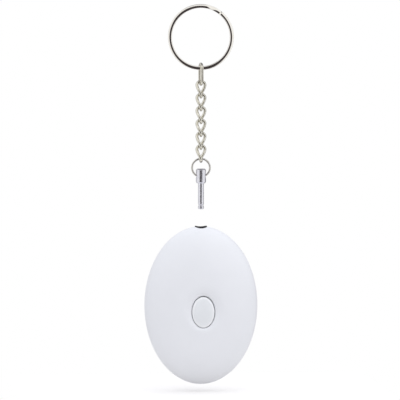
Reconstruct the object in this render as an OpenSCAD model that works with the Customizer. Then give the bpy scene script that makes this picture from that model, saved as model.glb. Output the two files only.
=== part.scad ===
// Personal safety alarm: an oval two-shell case with a push button and a siren, set off by
// drawing a metal pin out of a socket in its top. The pin hangs from a jump ring, six twisted
// chain links, one plain link and a split key ring.
// All sizes are in millimetres. Z is up along the chain, X is to the right and the button
// faces -Y. The origin is the centre of the key ring.

/* [Key ring] */
// Outside diameter of the split ring
ring_od = 25; // [23:0.5:28]
// Width of its flat wire, across the ring
ring_wire_w = 1.4; // [1.2:0.1:1.6]
// Thickness of its flat wire, along the ring's axis
ring_wire_t = 0.7; // [0.6:0.05:0.8]
// Gap between its two turns
ring_turn_gap = 0.42; // [0.42:0.02:0.5]
// Where the front end of the wire lies, in degrees up from the right
ring_end_angle = 50; // [40:5:70]
// Degrees over which the wire steps from the front turn to the back turn
ring_step_angle = 30; // [25:5:45]

/* [Chain] */
// Wire diameter of the links
wire_d = 1.1; // [1:0.05:1.15]
// Outside length of a twisted link
link_len = 7.15; // [6.9:0.05:7.6]
// Outside width of a twisted link's bows
link_w = 4.5; // [4.3:0.1:5]
// Degrees of twist from a link's top bow to its bottom bow
link_twist = 90; // [84:2:90]
// Play between two links that hang tight
link_play = 0.08; // [0.06:0.01:0.12]
// Outside length of the plain link on the key ring
ring_link_len = 8.8; // [8.4:0.1:9.6]
// Outside width of the plain link on the key ring
ring_link_w = 5; // [4.9:0.1:5.6]

/* [Jump ring] */
// Diameter of the jump ring, from wire centre to wire centre
jump_d = 6.8; // [6.6:0.1:7.2]
// Wire diameter of the jump ring
jump_wire_d = 0.75; // [0.65:0.05:0.8]
// Butt gap between the jump ring's ends
jump_gap = 0.1; // [0.05:0.05:0.3]

/* [Pull pin] */
// Diameter of the head
head_d = 3.8; // [3.6:0.1:3.9]
// Length of the head
head_len = 5.5; // [5.2:0.1:6]
// Chamfer on both ends of the head
head_chamfer = 0.45; // [0.3:0.05:0.6]
// Diameter of the cross hole for the jump ring
eye_d = 1.6; // [1.6:0.05:1.8]
// Countersink on the two mouths of the cross hole
eye_flare = 0.25; // [0.15:0.05:0.35]
// Distance from the top of the head down to the cross hole
eye_depth = 2.7; // [2.4:0.1:3]
// Diameter of the shaft
shaft_d = 2.2; // [2:0.05:2.3]
// Length of the shaft
shaft_len = 9.8; // [9:0.1:10.4]
// Width of the detent groove
groove_w = 0.8; // [0.6:0.1:1]
// Depth of the detent groove
groove_depth = 0.2; // [0.15:0.05:0.3]
// Length of the plain tip below the groove
tip_len = 1.1; // [0.9:0.1:1.4]
// Distance from the drawn pin's tip to the top of the case
pulled_gap = 6.5; // [4:0.5:10]

/* [Case] */
// Width of the case
case_w = 43; // [42:0.5:45]
// Height of the case
case_h = 60; // [59:0.5:63]
// Depth of the case before its back is flattened
case_d = 22; // [21.5:0.5:24]
// Wall thickness
wall = 1.8; // [1.6:0.1:2]
// How much of the back is cut flat
back_cut = 1.4; // [1.2:0.1:1.6]
// Gap left at the parting line
seam = 0.1; // [0.06:0.02:0.14]
// Height of the tongue on the back shell's rim
tongue_h = 1.2; // [1:0.1:1.5]
// Thickness of the tongue
tongue_t = 0.75; // [0.65:0.05:0.8]
// Ledge between the tongue and the wall's inner face
tongue_ledge = 0.1; // [0.1:0.02:0.16]
// Play around the tongue
tongue_play = 0.1; // [0.06:0.02:0.14]
// Diameter of the screw bosses
boss_d = 4.6; // [4.4:0.1:4.8]
// Distance of the upper screws from the middle line
screw_x = 13; // [12.5:0.1:13.3]
// Height of the upper screws over the case's centre
screw_z = 14; // [13:0.5:15]
// Drop of the lower screw below the case's centre
low_screw_z = 24.5; // [24.3:0.1:24.8]

/* [Screws] */
// Diameter of a case screw's head
screw_head_d = 3.6; // [3.4:0.1:3.8]
// Height of a case screw's head
screw_head_h = 1.4; // [1.2:0.1:1.6]
// Diameter of a case screw's shank
screw_d = 1.9; // [1.8:0.05:2]
// Length of a case screw's shank
screw_len = 6.2; // [5.6:0.2:6.4]
// Thickness of the floor under a screw's head
screw_floor = 2; // [1.6:0.1:2.4]
// Diameter of a board screw's head
board_screw_head_d = 3; // [2.8:0.1:3.2]
// Height of a board screw's head
board_screw_head_h = 1; // [0.8:0.1:1.2]
// Diameter of a board screw's shank
board_screw_d = 1.6; // [1.5:0.05:1.7]
// Length of a board screw's thread in its post
board_screw_grip = 3; // [2.6:0.1:3.2]
// Play around screws in their holes
screw_play = 0.06; // [0.04:0.01:0.1]

/* [Button] */
// Width of the push button
button_w = 8.5; // [8.3:0.1:9]
// Height of the push button
button_h = 11.7; // [11.4:0.1:12.2]
// Gap around the push button
button_gap = 0.25; // [0.2:0.05:0.35]
// Drop of the button's centre below the case's centre
button_drop = 1.9; // [1.6:0.1:2.6]
// Distance of the button's crown inside the case's front
button_sink = 0.1; // [0:0.05:0.3]
// Radius of the crown from side to side
crown_rx = 16; // [14:1:20]
// Radius of the crown from top to bottom
crown_rz = 28; // [25:1:34]
// Drop of the crown's rounded rim, from the crown down to the button's side
rim_drop = 0.3; // [0.2:0.05:0.4]
// How far the rounding of the rim would run on past the button's side
rim_over = 0.22; // [0.18:0.02:0.3]
// How far the button travels when pressed
button_travel = 0.5; // [0.4:0.05:0.55]
// Thickness of the flange that keeps the button in
flange_t = 0.8; // [0.7:0.05:0.9]
// How far the flange reaches past the button's side
flange_w = 1.05; // [0.9:0.05:1.2]
// Width of the dish pressed into the case around the button
dish_w = 14.8; // [14:0.2:16]
// Height of that dish
dish_h = 16.3; // [15.6:0.2:17.4]
// Depth of that dish in the middle
dish_depth = 0.95; // [0.9:0.05:1]

/* [Circuit board] */
// Width of the board
board_w = 20; // [19.6:0.2:20.4]
// Top edge of the board over the case's centre
board_top = 20; // [19:0.5:20.5]
// Bottom edge of the board below the case's centre
board_bottom = 9; // [8.8:0.1:9.2]
// Thickness of the board
board_t = 1; // [0.8:0.1:1.2]
// Distance of the board's back face in front of the parting line
board_back = 2.6; // [2.5:0.05:2.7]
// Diameter of the posts under the board
post_d = 3.6; // [3.4:0.1:3.8]
// Distance of the posts from the middle line
post_x = 8; // [7.9:0.05:8.1]
// Height of the upper posts over the case's centre
post_top = 9.5; // [9.2:0.1:9.8]
// Drop of the lower posts below the case's centre
post_low = 7; // [6.8:0.1:7.1]
// Side of the tactile switch under the button
switch_w = 6; // [5.8:0.1:6.2]
// Height of that switch's body
switch_h = 2.6; // [2.4:0.1:2.7]
// Diameter of the switch's plunger
plunger_d = 3.2; // [3:0.1:3.4]
// Height of the plunger over the switch's body
plunger_rise = 0.8; // [0.7:0.05:0.85]

/* [Pin socket] */
// Outside diameter of the socket's collar
collar_d = 4.6; // [4.5:0.05:4.8]
// Play between the collar and the case
collar_play = 0.05; // [0.03:0.01:0.08]
// How far the collar stands proud of the case around it
collar_rise = 0.3; // [0.2:0.05:0.4]
// Depth of the pin head's seat below the top of the case
head_seat = 1.5; // [1.3:0.1:1.7]
// Play around the pin's head in the collar
head_play = 0.1; // [0.08:0.01:0.12]
// Play around the pin's shaft in the bore
shaft_play = 0.07; // [0.05:0.01:0.09]
// Width of the socket's body
socket_w = 6.4; // [6.2:0.1:6.6]
// Height of the socket's body
socket_len = 10; // [9.6:0.1:10.4]
// Drop of the body's top below the top of the case
socket_drop = 4.6; // [4.5:0.1:4.9]
// Thickness of the socket's spring leaf
leaf_t = 0.25; // [0.2:0.05:0.3]
// Width of the socket's spring leaf
leaf_w = 2; // [1.8:0.1:2.2]
// How far the leaf's foot reaches below the socket
leaf_foot = 1.6; // [1.4:0.1:1.8]

/* [Siren] */
// Diameter of the brass sounder disc
disc_d = 25; // [24.6:0.2:25.4]
// Play around that disc in its seat
disc_play = 0.15; // [0.1:0.05:0.2]
// Thickness of that disc
disc_t = 0.25; // [0.2:0.05:0.3]
// Diameter of the ceramic layer on it
ceramic_d = 18; // [17:0.5:19]
// Thickness of the ceramic layer
ceramic_t = 0.2; // [0.15:0.05:0.25]
// Thickness of the gasket under the disc
gasket_t = 0.4; // [0.3:0.05:0.5]
// Width of the gasket
gasket_w = 1.25; // [1:0.05:1.5]
// Depth of the sound chamber behind the disc
chamber = 1.9; // [1.8:0.05:2]
// Height of the siren's centre over the case's centre
siren_z = 1.5; // [1:0.25:2]
// Diameter of the sound holes
sound_hole_d = 1.8; // [1.4:0.1:2]
// Distance between the rings of sound holes
sound_hole_pitch = 3.3; // [3:0.1:3.6]

/* [Cells] */
// Diameter of a button cell
cell_d = 11.6; // [11.4:0.1:11.6]
// Thickness of a button cell
cell_t = 5.4; // [5.2:0.05:5.4]
// Drop of the row of cells below the case's centre
cell_drop = 15.5; // [15.3:0.1:15.6]
// Play around a cell in its cradle
cell_play = 0.06; // [0.04:0.02:0.1]
// Thickness of the contact plates
contact_t = 0.3; // [0.25:0.05:0.35]
// Width of the contact plates, from front to back
contact_w = 6.4; // [6:0.1:6.8]
// Height of the contact plates
contact_h = 7.2; // [6.8:0.1:7.6]
// How far the negative contact's spring reaches out to its cell
contact_spring = 0.5; // [0.4:0.05:0.6]
// Thickness of the cradle's ribs
rib_t = 1.2; // [1:0.1:1.3]
// Height of the cradle's ribs
rib_h = 10; // [9.6:0.1:10.4]
// Gap between the front and the back ribs
rib_gap = 4.8; // [4.4:0.2:5.2]

/* [Hidden] */
$fn = 96;
link_count = 6;
cell_count = 3;
// Gap between faces that touch, and a reach past the whole case
touch = 0.02;
far = 60;
// Wall of the button's guide and of the siren's seat
guide_wall = 1.2;
// Spare depth below the tips of the screws and the pin
tip_room = 0.4;
// Room around the screw heads in their wells
well_play = 0.2;
// Chamfer on the pin's tip
tip_chamfer = 0.3;
// Length of the button's stem below its flange
stem_h = 0.3;
// Drop of the transistor below the leaf's foot, and of the capacitor below the transistor
transistor_drop = 4.2;
capacitor_pitch = 6;

// Key ring and chain, from the top down
ring_r = (ring_od - ring_wire_w) / 2;
ring_bevel = 0.25;
ring_y = (ring_wire_t + ring_turn_gap) / 2;
ring_half_t = ring_y + ring_wire_t / 2;
ring_corner = norm([ring_half_t, ring_wire_w / 2 - ring_bevel]);
ring_link_top = -ring_r + ring_corner + link_play + wire_d;
ring_link_low = ring_link_top - ring_link_len;
link_pitch = link_len - 2 * wire_d - link_play;
function link_top(i) = ring_link_low + 2 * wire_d + link_play - (i - 1) * link_pitch;
chain_low = link_top(link_count) - link_len;
jump_z = chain_low + wire_d + link_play + jump_wire_d / 2 - jump_d / 2;

// The cross hole is centred on the stretch of the jump ring that lies inside the head
jump_low = jump_z - jump_d / 2;
jump_rise = jump_d / 2 - sqrt(pow(jump_d / 2, 2) - pow(head_d / 2, 2));
jump_side = jump_wire_d / 2 / cos(asin(head_d / jump_d));
eye_z = jump_low + (jump_rise + jump_side - jump_wire_d / 2) / 2;
head_top = eye_z + eye_depth;
head_low = head_top - head_len;
shaft_low = head_low - shaft_len;

// Case, measured from its own centre
half_w = case_w / 2;
half_d = case_d / 2;
half_h = case_h / 2;
case_z = shaft_low - pulled_gap - half_h;
back_y = half_d - back_cut;
back_inner = back_y - wall;
tongue_out = wall - tongue_ledge - tongue_t;
button_z = -button_drop;
button_top = -half_d + button_sink;
board_y = -board_back - board_t;
board_face = -board_back + touch;
switch_top = board_y - switch_h;
plunger_top = switch_top - plunger_rise;
flange_y = plunger_top - stem_h;
guide_y = flange_y - flange_t - touch;
socket_top = half_h - socket_drop;
socket_low = socket_top - socket_len;
collar_floor = half_h - head_seat;
bore_low = collar_floor - shaft_len - tip_room;
transistor_z = socket_low - leaf_foot - transistor_drop;
capacitor_z = transistor_z - capacitor_pitch;
groove_z = collar_floor - shaft_len + tip_len + groove_w / 2;
seat_y = back_inner - chamber;
disc_y = seat_y - gasket_t - touch;
row_l = cell_count * (cell_t + touch);
case_screws_at = [[-screw_x, screw_z], [screw_x, screw_z], [0, -low_screw_z]];
pin_travel = head_low - touch - (case_z + collar_floor);
echo(ring_link_low_mm = ring_link_low, chain_top_mm = link_top(1), link_pitch_mm = link_pitch);
echo(eye_z_mm = eye_z, case_centre_mm = case_z, back_y_mm = back_y, pin_travel_mm = pin_travel);

// Points and faces of a tube: one ring of points for each point of its path
function unit(v) = v / norm(v);
function ring_faces(rings, sides, closed) = [
    for (i = [0 : rings - (closed ? 1 : 2)]) for (j = [0 : sides - 1])
        let (a = i * sides, b = ((i + 1) % rings) * sides, k = (j + 1) % sides)
        for (f = [[a + j, a + k, b + k], [a + j, b + k, b + j]]) f
];
function cap_faces(rings, sides) = [
    [for (j = [sides - 1 : -1 : 0]) j],
    [for (j = [0 : sides - 1]) (rings - 1) * sides + j]
];
function smooth(u) = u * u * (3 - 2 * u);

// A cylinder, an oval bar and a box that run along Y between two depths
module rod_y(x, z, y0, y1, d) {
    translate([x, y0, z]) rotate([-90, 0, 0]) cylinder(h = y1 - y0, d = d);
}
module oval_y(z, y0, y1, w, h) {
    translate([0, y0, z]) rotate([-90, 0, 0]) linear_extrude(y1 - y0)
        scale([w / 2, h / 2]) circle(r = 1);
}
module box(low, high) {
    translate(low) cube(high - low);
}

// The case's outer form, drawn in by an even margin
module egg(margin) {
    scale([half_w - margin, half_d - margin, half_h - margin]) sphere(r = 1);
}
module in_case() {
    translate([0, 0, case_z]) children();
}

// Split ring: one flat wire wound twice, with a step between the turns
ring_steps = 30;
ring_span = 360 - ring_step_angle;
function ring_angle(u) = ring_end_angle - u;
function ring_depth(u) = -ring_y + 2 * ring_y * smooth(min(1, max(0, (u - ring_span) / ring_step_angle)));
ring_stops = concat(
    [for (i = [0 : ring_steps]) ring_span * i / ring_steps],
    [for (i = [1 : 7]) ring_span + ring_step_angle * i / 8],
    [for (i = [0 : ring_steps]) 360 + ring_span * i / ring_steps]);
ring_path = [for (u = ring_stops)
    [ring_r * cos(ring_angle(u)), ring_depth(u), ring_r * sin(ring_angle(u))]];
ring_section = let (w = ring_wire_w / 2, t = ring_wire_t / 2, b = ring_bevel)
    [[w, b - t], [w, t - b], [w - b, t], [b - w, t], [-w, t - b], [-w, b - t], [b - w, -t], [w - b, -t]];
ring_points = [for (u = ring_stops) for (q = ring_section)
    [(ring_r + q.x) * cos(ring_angle(u)), ring_depth(u) + q.y, (ring_r + q.x) * sin(ring_angle(u))]];
ring_least_gap = min([for (i = [0 : len(ring_path) - 1]) for (j = [i + 1 : len(ring_path) - 1])
    if (ring_stops[j] - ring_stops[i] > 180) norm(ring_path[i] - ring_path[j])]) - ring_wire_t;
echo(ring_least_gap_mm = ring_least_gap);

module key_ring() {
    color("silver")
    polyhedron(ring_points, concat(
        ring_faces(len(ring_stops), len(ring_section), false),
        cap_faces(len(ring_stops), len(ring_section))), convexity = 10);
}

// Plain link, edge on to the front, that holds the key ring
module ring_link() {
    r = (ring_link_w - wire_d) / 2;
    top = ring_link_top - ring_link_w / 2;
    low = ring_link_low + ring_link_w / 2;
    color("silver")
    rotate([90, 0, 90]) {
        translate([0, top, 0]) rotate_extrude(angle = 180) translate([r, 0]) circle(d = wire_d);
        translate([0, low, 0]) rotate([0, 0, 180]) rotate_extrude(angle = 180)
            translate([r, 0]) circle(d = wire_d);
        for (s = [-1, 1]) translate([s * r, low, 0]) rotate([-90, 0, 0])
            cylinder(h = top - low, d = wire_d);
    }
}

// Twisted link: an oval whose plane turns about Z on the way down
link_sides = 8;
bow_steps = 12;
leg_steps = 6;
link_rings = 2 * (bow_steps + leg_steps);
link_r = (link_w - wire_d) / 2;
link_leg = (link_len - link_w) / 2;
function bow_place(a, s) = [link_r * cos(a), s * link_leg + link_r * sin(a)];
function oval_place(i) =
    i < bow_steps ? bow_place(180 * i / bow_steps, 1) :
    i < bow_steps + leg_steps ? [-link_r, link_leg * (1 - 2 * (i - bow_steps) / leg_steps)] :
    i < 2 * bow_steps + leg_steps ? bow_place(180 + 180 * (i - bow_steps - leg_steps) / bow_steps, -1) :
    [link_r, link_leg * (2 * (i - 2 * bow_steps - leg_steps) / leg_steps - 1)];
function twist_at(z) = link_twist * smooth((link_leg + link_r - z) / (2 * (link_leg + link_r)));
function link_place(i) = let (p = oval_place((i + link_rings) % link_rings), t = twist_at(p.y))
    [p.x * cos(t), p.x * sin(t), p.y];
function link_ring(i) =
    let (
        t = twist_at(oval_place(i).y),
        along = unit(link_place(i + 1) - link_place(i - 1)),
        flat = [-sin(t), cos(t), 0],
        u = unit(flat - (flat * along) * along),
        v = cross(along, u))
    [for (j = [0 : link_sides - 1])
        let (a = 360 * (j + 0.5) / link_sides)
        link_place(i) + wire_d / 2 * (cos(a) * u + sin(a) * v)];

module chain_link(i) {
    color("silver")
    translate([0, 0, link_top(i) - link_len / 2])
        polyhedron([for (k = [0 : link_rings - 1]) each link_ring(k)],
            ring_faces(link_rings, link_sides, true), convexity = 10);
}

// Jump ring: round wire bent to a ring, its butt joint hidden near the top
module jump_ring() {
    open = jump_gap / (PI * jump_d) * 360;
    color("silver")
    translate([0, 0, jump_z]) rotate([90, 0, 0]) rotate([0, 0, 60 + open])
        rotate_extrude(angle = 360 - open) translate([jump_d / 2, 0]) circle(d = jump_wire_d);
}

// Pull pin: turned head and shaft, cross drilled for the jump ring
module pull_pin() {
    head_r = head_d / 2;
    shaft_r = shaft_d / 2;
    groove_low = shaft_low + tip_len;
    color("silver")
    difference() {
        rotate_extrude() polygon([
            [0, head_top], [head_r - head_chamfer, head_top], [head_r, head_top - head_chamfer],
            [head_r, head_low + head_chamfer], [head_r - head_chamfer, head_low], [shaft_r, head_low],
            [shaft_r, groove_low + groove_w], [shaft_r - groove_depth, groove_low + 0.7 * groove_w],
            [shaft_r - groove_depth, groove_low + 0.3 * groove_w], [shaft_r, groove_low],
            [shaft_r, shaft_low + tip_chamfer], [shaft_r - tip_chamfer, shaft_low], [0, shaft_low]]);
        translate([0, 0, eye_z]) rotate([0, 90, 0]) cylinder(h = 2 * head_d, d = eye_d, center = true);
        for (s = [-1, 1]) translate([s * head_r, 0, eye_z]) rotate([0, s * 90, 0])
            translate([0, 0, -2 * eye_flare])
                cylinder(h = 4 * eye_flare, d1 = eye_d, d2 = eye_d + 4 * eye_flare);
    }
}

// Front shell: half of the case, with the button's dish and guide, the posts and the bosses
module dish() {
    deep = 20;
    edge_x = half_d * (1 - sqrt(1 - pow(dish_w / case_w, 2)));
    edge_z = half_d * (1 - sqrt(1 - pow(dish_h / case_h, 2)));
    span_x = dish_w / 2 / sqrt(1 - pow(1 - (dish_depth - edge_x) / deep, 2));
    span_z = dish_h / 2 / sqrt(1 - pow(1 - (dish_depth - edge_z) / deep, 2));
    translate([0, -half_d + dish_depth - deep, button_z]) scale([span_x, deep, span_z]) sphere(r = 1);
}
module cell_ribs(y0, y1) {
    for (s = [-1, 1])
        translate([s * row_l / 4, 0, -cell_drop]) box([-rib_t / 2, y0, -rib_h / 2], [rib_t / 2, y1, rib_h / 2]);
}
module cell_row(play) {
    translate([-row_l / 2 - play, 0, -cell_drop]) rotate([0, 90, 0])
        cylinder(h = row_l + 2 * play, d = cell_d + 2 * play);
}
module front_shell() {
    hole_w = button_w + 2 * button_gap;
    hole_h = button_h + 2 * button_gap;
    color("white")
    in_case() difference() {
        union() {
            difference() {
                egg(0);
                egg(wall);
                box([-far, -seam / 2, -far], [far, far, far]);
            }
            intersection() {
                egg(wall / 2);
                union() {
                    oval_y(button_z, -half_d, guide_y, hole_w + 2 * guide_wall, hole_h + 2 * guide_wall);
                    for (p = case_screws_at) rod_y(p.x, p.y, -half_d, -seam / 2, boss_d);
                    for (s = [-1, 1]) for (z = [post_top, -post_low])
                        rod_y(s * post_x, z, -half_d, board_y - touch, post_d);
                    cell_ribs(-half_d, -rib_gap / 2);
                }
            }
        }
        oval_y(button_z, -half_d - 1, guide_y + 1, hole_w, hole_h);
        oval_y(button_z, guide_y, board_y, hole_w + 2 * flange_w, hole_h + 2 * flange_w);
        dish();
        translate([0, 0, half_h - 8]) cylinder(h = 20, d = collar_d + 2 * collar_play);
        difference() {
            rim_oval(-tongue_h - tongue_play, 1, tongue_out - tongue_play);
            rim_oval(-tongue_h - 1, 2, wall + tongue_t);
        }
        for (p = case_screws_at)
            rod_y(p.x, p.y, screw_floor - screw_len - tip_room, 1, screw_d + 2 * screw_play);
        for (s = [-1, 1]) rod_y(s * post_x, post_top, board_y - board_screw_grip - tip_room, board_y + 1,
            board_screw_d + 2 * screw_play);
        cell_row(cell_play);
    }
}
module rim_oval(y0, y1, margin) {
    oval_y(0, y0, y1, case_w - 2 * margin, case_h - 2 * margin);
}

// Rear shell: the flattened back, with sound holes, the siren's seat and the cells' cradle
module rear_shell() {
    seat_d = disc_d + 2 * disc_play;
    wall_x = row_l / 2 + contact_t + 2 * touch;
    color("white")
    in_case() difference() {
        union() {
            difference() {
                egg(0);
                intersection() {
                    egg(wall);
                    box([-far, -1, -far], [far, back_inner, far]);
                }
                box([-far, -far, -far], [far, seam / 2, far]);
            }
            difference() {
                rim_oval(-tongue_h, 1, tongue_out);
                rim_oval(-tongue_h - 1, 2, tongue_out + tongue_t);
            }
            intersection() {
                egg(wall / 2);
                union() {
                    for (p = case_screws_at) rod_y(p.x, p.y, seam / 2, half_d, boss_d);
                    rod_y(0, siren_z, disc_y - disc_t - ceramic_t, half_d, seat_d + 2 * guide_wall);
                    cell_ribs(rib_gap / 2, half_d);
                    box([wall_x, -contact_w / 2, -cell_drop - contact_h / 2],
                        [wall_x + rib_t, half_d, -cell_drop + contact_h / 2]);
                    box([-wall_x - contact_spring - rib_t, -contact_w / 2, -cell_drop - contact_h / 2],
                        [-wall_x - contact_spring, half_d, -cell_drop + contact_h / 2]);
                }
            }
        }
        box([-far, back_y, -far], [far, far, far]);
        translate([0, 0, half_h - 8]) cylinder(h = 20, d = collar_d + 2 * collar_play);
        rod_y(0, siren_z, 0, seat_y, seat_d);
        rod_y(0, siren_z, 0, back_inner, disc_d - 2 * gasket_w);
        sound_holes();
        for (p = case_screws_at) {
            rod_y(p.x, p.y, -1, half_d + 1, screw_d + 2 * screw_play);
            rod_y(p.x, p.y, screw_floor, half_d + 1, screw_head_d + 2 * well_play);
        }
        cell_row(cell_play);
    }
}
module sound_holes() {
    rod_y(0, siren_z, back_inner - 1, back_y + 1, sound_hole_d);
    for (ring = [1, 2]) for (k = [1 : 6 * ring])
        let (r = ring * sound_hole_pitch, a = 60 * k / ring)
        rod_y(r * cos(a), siren_z + r * sin(a), back_inner - 1, back_y + 1, sound_hole_d);
}

// Screws: round heads with a cross recess, three in the case and two in the board
module screw(x, z, y, head_d, head_h, d, l) {
    difference() {
        union() {
            rod_y(x, z, y + touch, y + head_h, head_d);
            rod_y(x, z, y - l, y + head_h / 2, d);
        }
        for (a = [0, 90]) translate([x, y + head_h, z]) rotate([0, a + 20, 0])
            cube([head_d * 0.6, head_h, head_d * 0.16], center = true);
    }
}
module case_screws() {
    color("dimgray")
    in_case() for (p = case_screws_at)
        screw(p.x, p.y, screw_floor, screw_head_d, screw_head_h, screw_d, screw_len);
}
module board_screws() {
    color("dimgray")
    in_case() for (s = [-1, 1]) screw(s * post_x, post_top, -board_back, board_screw_head_d,
        board_screw_head_h, board_screw_d, board_t + board_screw_grip);
}

// Push button: a crowned oval cap with a keeper flange and a stem over the switch
module push_button() {
    deep = 8;
    side_y = button_top + pow(button_w / 2, 2) / (2 * crown_rx) + rim_drop;
    rim_deep = 1.6;
    rim_k = 1 + 2 * rim_over / button_w;
    rim_y = side_y + rim_deep * sqrt(1 - 1 / pow(rim_k, 2));
    color("whitesmoke")
    in_case() {
        intersection() {
            oval_y(button_z, button_top - 1, flange_y, button_w, button_h);
            translate([0, button_top + deep, button_z])
                scale([sqrt(crown_rx * deep), deep, sqrt(crown_rz * deep)]) sphere(r = 1);
            union() {
                translate([0, rim_y, button_z])
                    scale([rim_k * button_w / 2, rim_deep, rim_k * button_h / 2]) sphere(r = 1);
                oval_y(button_z, rim_y, flange_y + 1, button_w + 1, button_h + 1);
            }
        }
        oval_y(button_z, flange_y - flange_t, flange_y, button_w + 2 * flange_w, button_h + 2 * flange_w);
        rod_y(0, button_z, flange_y - flange_t / 2, plunger_top - touch, plunger_d + 1);
    }
}
module switch_plunger() {
    color("black")
    in_case() rod_y(0, button_z, plunger_top, switch_top + 0.6, plunger_d);
}

// Tactile switch: a square can with four feet and a well for its plunger
module tactile_switch() {
    w = switch_w / 2;
    color("dimgray")
    in_case() difference() {
        union() {
            box([-w, switch_top, button_z - w], [w, board_y - touch, button_z + w]);
            for (s = [-1, 1]) for (t = [-1, 1])
                box([s * (w + 0.4) - 0.6, board_y - 0.3, button_z + t * 2.2 - 0.35],
                    [s * (w + 0.4) + 0.6, board_y - touch, button_z + t * 2.2 + 0.35]);
        }
        rod_y(0, button_z, switch_top - 1, switch_top + 0.6 + button_travel + 0.2, plunger_d + 0.2);
    }
}

// Circuit board, with holes for its two screws
module circuit_board() {
    color("darkgreen")
    in_case() difference() {
        box([-board_w / 2, board_y, -board_bottom], [board_w / 2, -board_back, board_top]);
        for (s = [-1, 1]) {
            rod_y(s * post_x, post_top, board_y - 1, 0, board_screw_d + 2 * screw_play);
            translate([s * board_w / 2, board_y - 1, board_top]) rotate([0, 45, 0])
                translate([-2, 0, -2]) cube([4, board_t + 2, 4]);
        }
    }
}

// Pin socket: a moulded body with a window for the leaf, and a collar for the pin's head
// whose rim follows the dome of the case
module pin_socket() {
    color("black")
    in_case() difference() {
        union() {
            box([-socket_w / 2, -board_back + touch, socket_low], [socket_w / 2, board_back, socket_top]);
            intersection() {
                translate([0, 0, socket_top - 1]) cylinder(h = socket_drop + 3, d = collar_d);
                egg(-collar_rise);
            }
        }
        translate([0, 0, collar_floor]) cylinder(h = 5, d = head_d + 2 * head_play);
        translate([0, 0, bore_low]) cylinder(h = 20, d = shaft_d + 2 * shaft_play);
        box([0.6, -leaf_w / 2 - 0.15, socket_low + 0.8], [socket_w, leaf_w / 2 + 0.15, socket_top - 1]);
        box([2.4, -leaf_w / 2 - 0.15, socket_low - 1], [socket_w, leaf_w / 2 + 0.15, socket_low + 1]);
    }
}

// Spring leaf that rides on the pin's groove and closes the circuit when the pin is drawn
module socket_leaf() {
    x0 = socket_w / 2 - 0.6;
    bump = shaft_d / 2 + 0.05;
    color("goldenrod")
    in_case() {
        translate([0, leaf_w / 2, 0]) rotate([90, 0, 0]) linear_extrude(leaf_w) polygon([
            [x0, socket_low - leaf_foot], [x0 + leaf_t, socket_low - leaf_foot], [x0 + leaf_t, groove_z - 1.6],
            [bump + leaf_t, groove_z - 0.2], [bump + leaf_t, groove_z + 0.2], [x0 + leaf_t, groove_z + 1.6],
            [x0 + leaf_t, socket_top - 1.3], [x0, socket_top - 1.3], [x0, groove_z + 1.5],
            [bump, groove_z + 0.25], [bump, groove_z - 0.25], [x0, groove_z - 1.5]]);
        box([x0, board_face, socket_low - leaf_foot], [x0 + leaf_t, leaf_w / 2, socket_low - 0.2]);
    }
}

// Siren: a brass disc with a ceramic layer on a gasket, wired to the board
module siren_gasket() {
    color("dimgray")
    in_case() difference() {
        rod_y(0, siren_z, disc_y + touch, seat_y - touch, disc_d);
        rod_y(0, siren_z, disc_y - 1, seat_y + 1, disc_d - 2 * gasket_w);
    }
}
module siren_disc() {
    color("gold")
    in_case() rod_y(0, siren_z, disc_y - disc_t, disc_y, disc_d);
}
module siren_ceramic() {
    color("ivory")
    in_case() rod_y(0, siren_z, disc_y - disc_t - ceramic_t, disc_y - disc_t - 0.01, ceramic_d);
}

// Insulated lead: a round tube along a smooth curve through a few points
lead_d = 0.9;
lead_sides = 8;
function curve_place(p, t) =
    let (i = min(floor(t), len(p) - 2), u = t - i,
        a = p[max(i - 1, 0)], b = p[i], c = p[i + 1], d = p[min(i + 2, len(p) - 1)])
    b + u * (c - a) / 2 + u * u * (a - 2.5 * b + 2 * c - d / 2) + u * u * u * (1.5 * (b - c) + (d - a) / 2);
function lead_points(p, steps) = [for (k = [0 : steps])
    let (t = (len(p) - 1) * k / steps,
        ahead = curve_place(p, min(t + 0.01, len(p) - 1)), behind = curve_place(p, max(t - 0.01, 0)),
        along = k == 0 || k == steps ? [0, 1, 0] : unit(ahead - behind),
        u = unit(cross(along, [0, 0, 1])), v = cross(along, u))
    for (j = [0 : lead_sides - 1])
        let (a = 360 * j / lead_sides)
        curve_place(p, t) + lead_d / 2 * (cos(a) * u + sin(a) * v)];
module lead(p, steps) {
    in_case() polyhedron(lead_points(p, steps),
        concat(ring_faces(steps + 1, lead_sides, false), cap_faces(steps + 1, lead_sides)), convexity = 6);
}
module siren_lead_red() {
    x = ceramic_d * 0.22;
    z = siren_z - ceramic_d / 4;
    color("red")
    lead([[6.5, board_face, -2.5], [6.4, 0, -2.5], [x + 1.2, 2.4, z],
        [x, disc_y - disc_t - ceramic_t - touch, z]], 14);
}
module siren_lead_black() {
    r = (ceramic_d + disc_d) / 4;
    x = r * cos(35);
    z = siren_z - r * sin(35);
    color("black")
    lead([[6.5, board_face, -5.5], [6.6, 0, -5.5], [x - 0.8, 2.4, z - 0.4],
        [x, disc_y - disc_t - touch, z]], 14);
}

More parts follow.
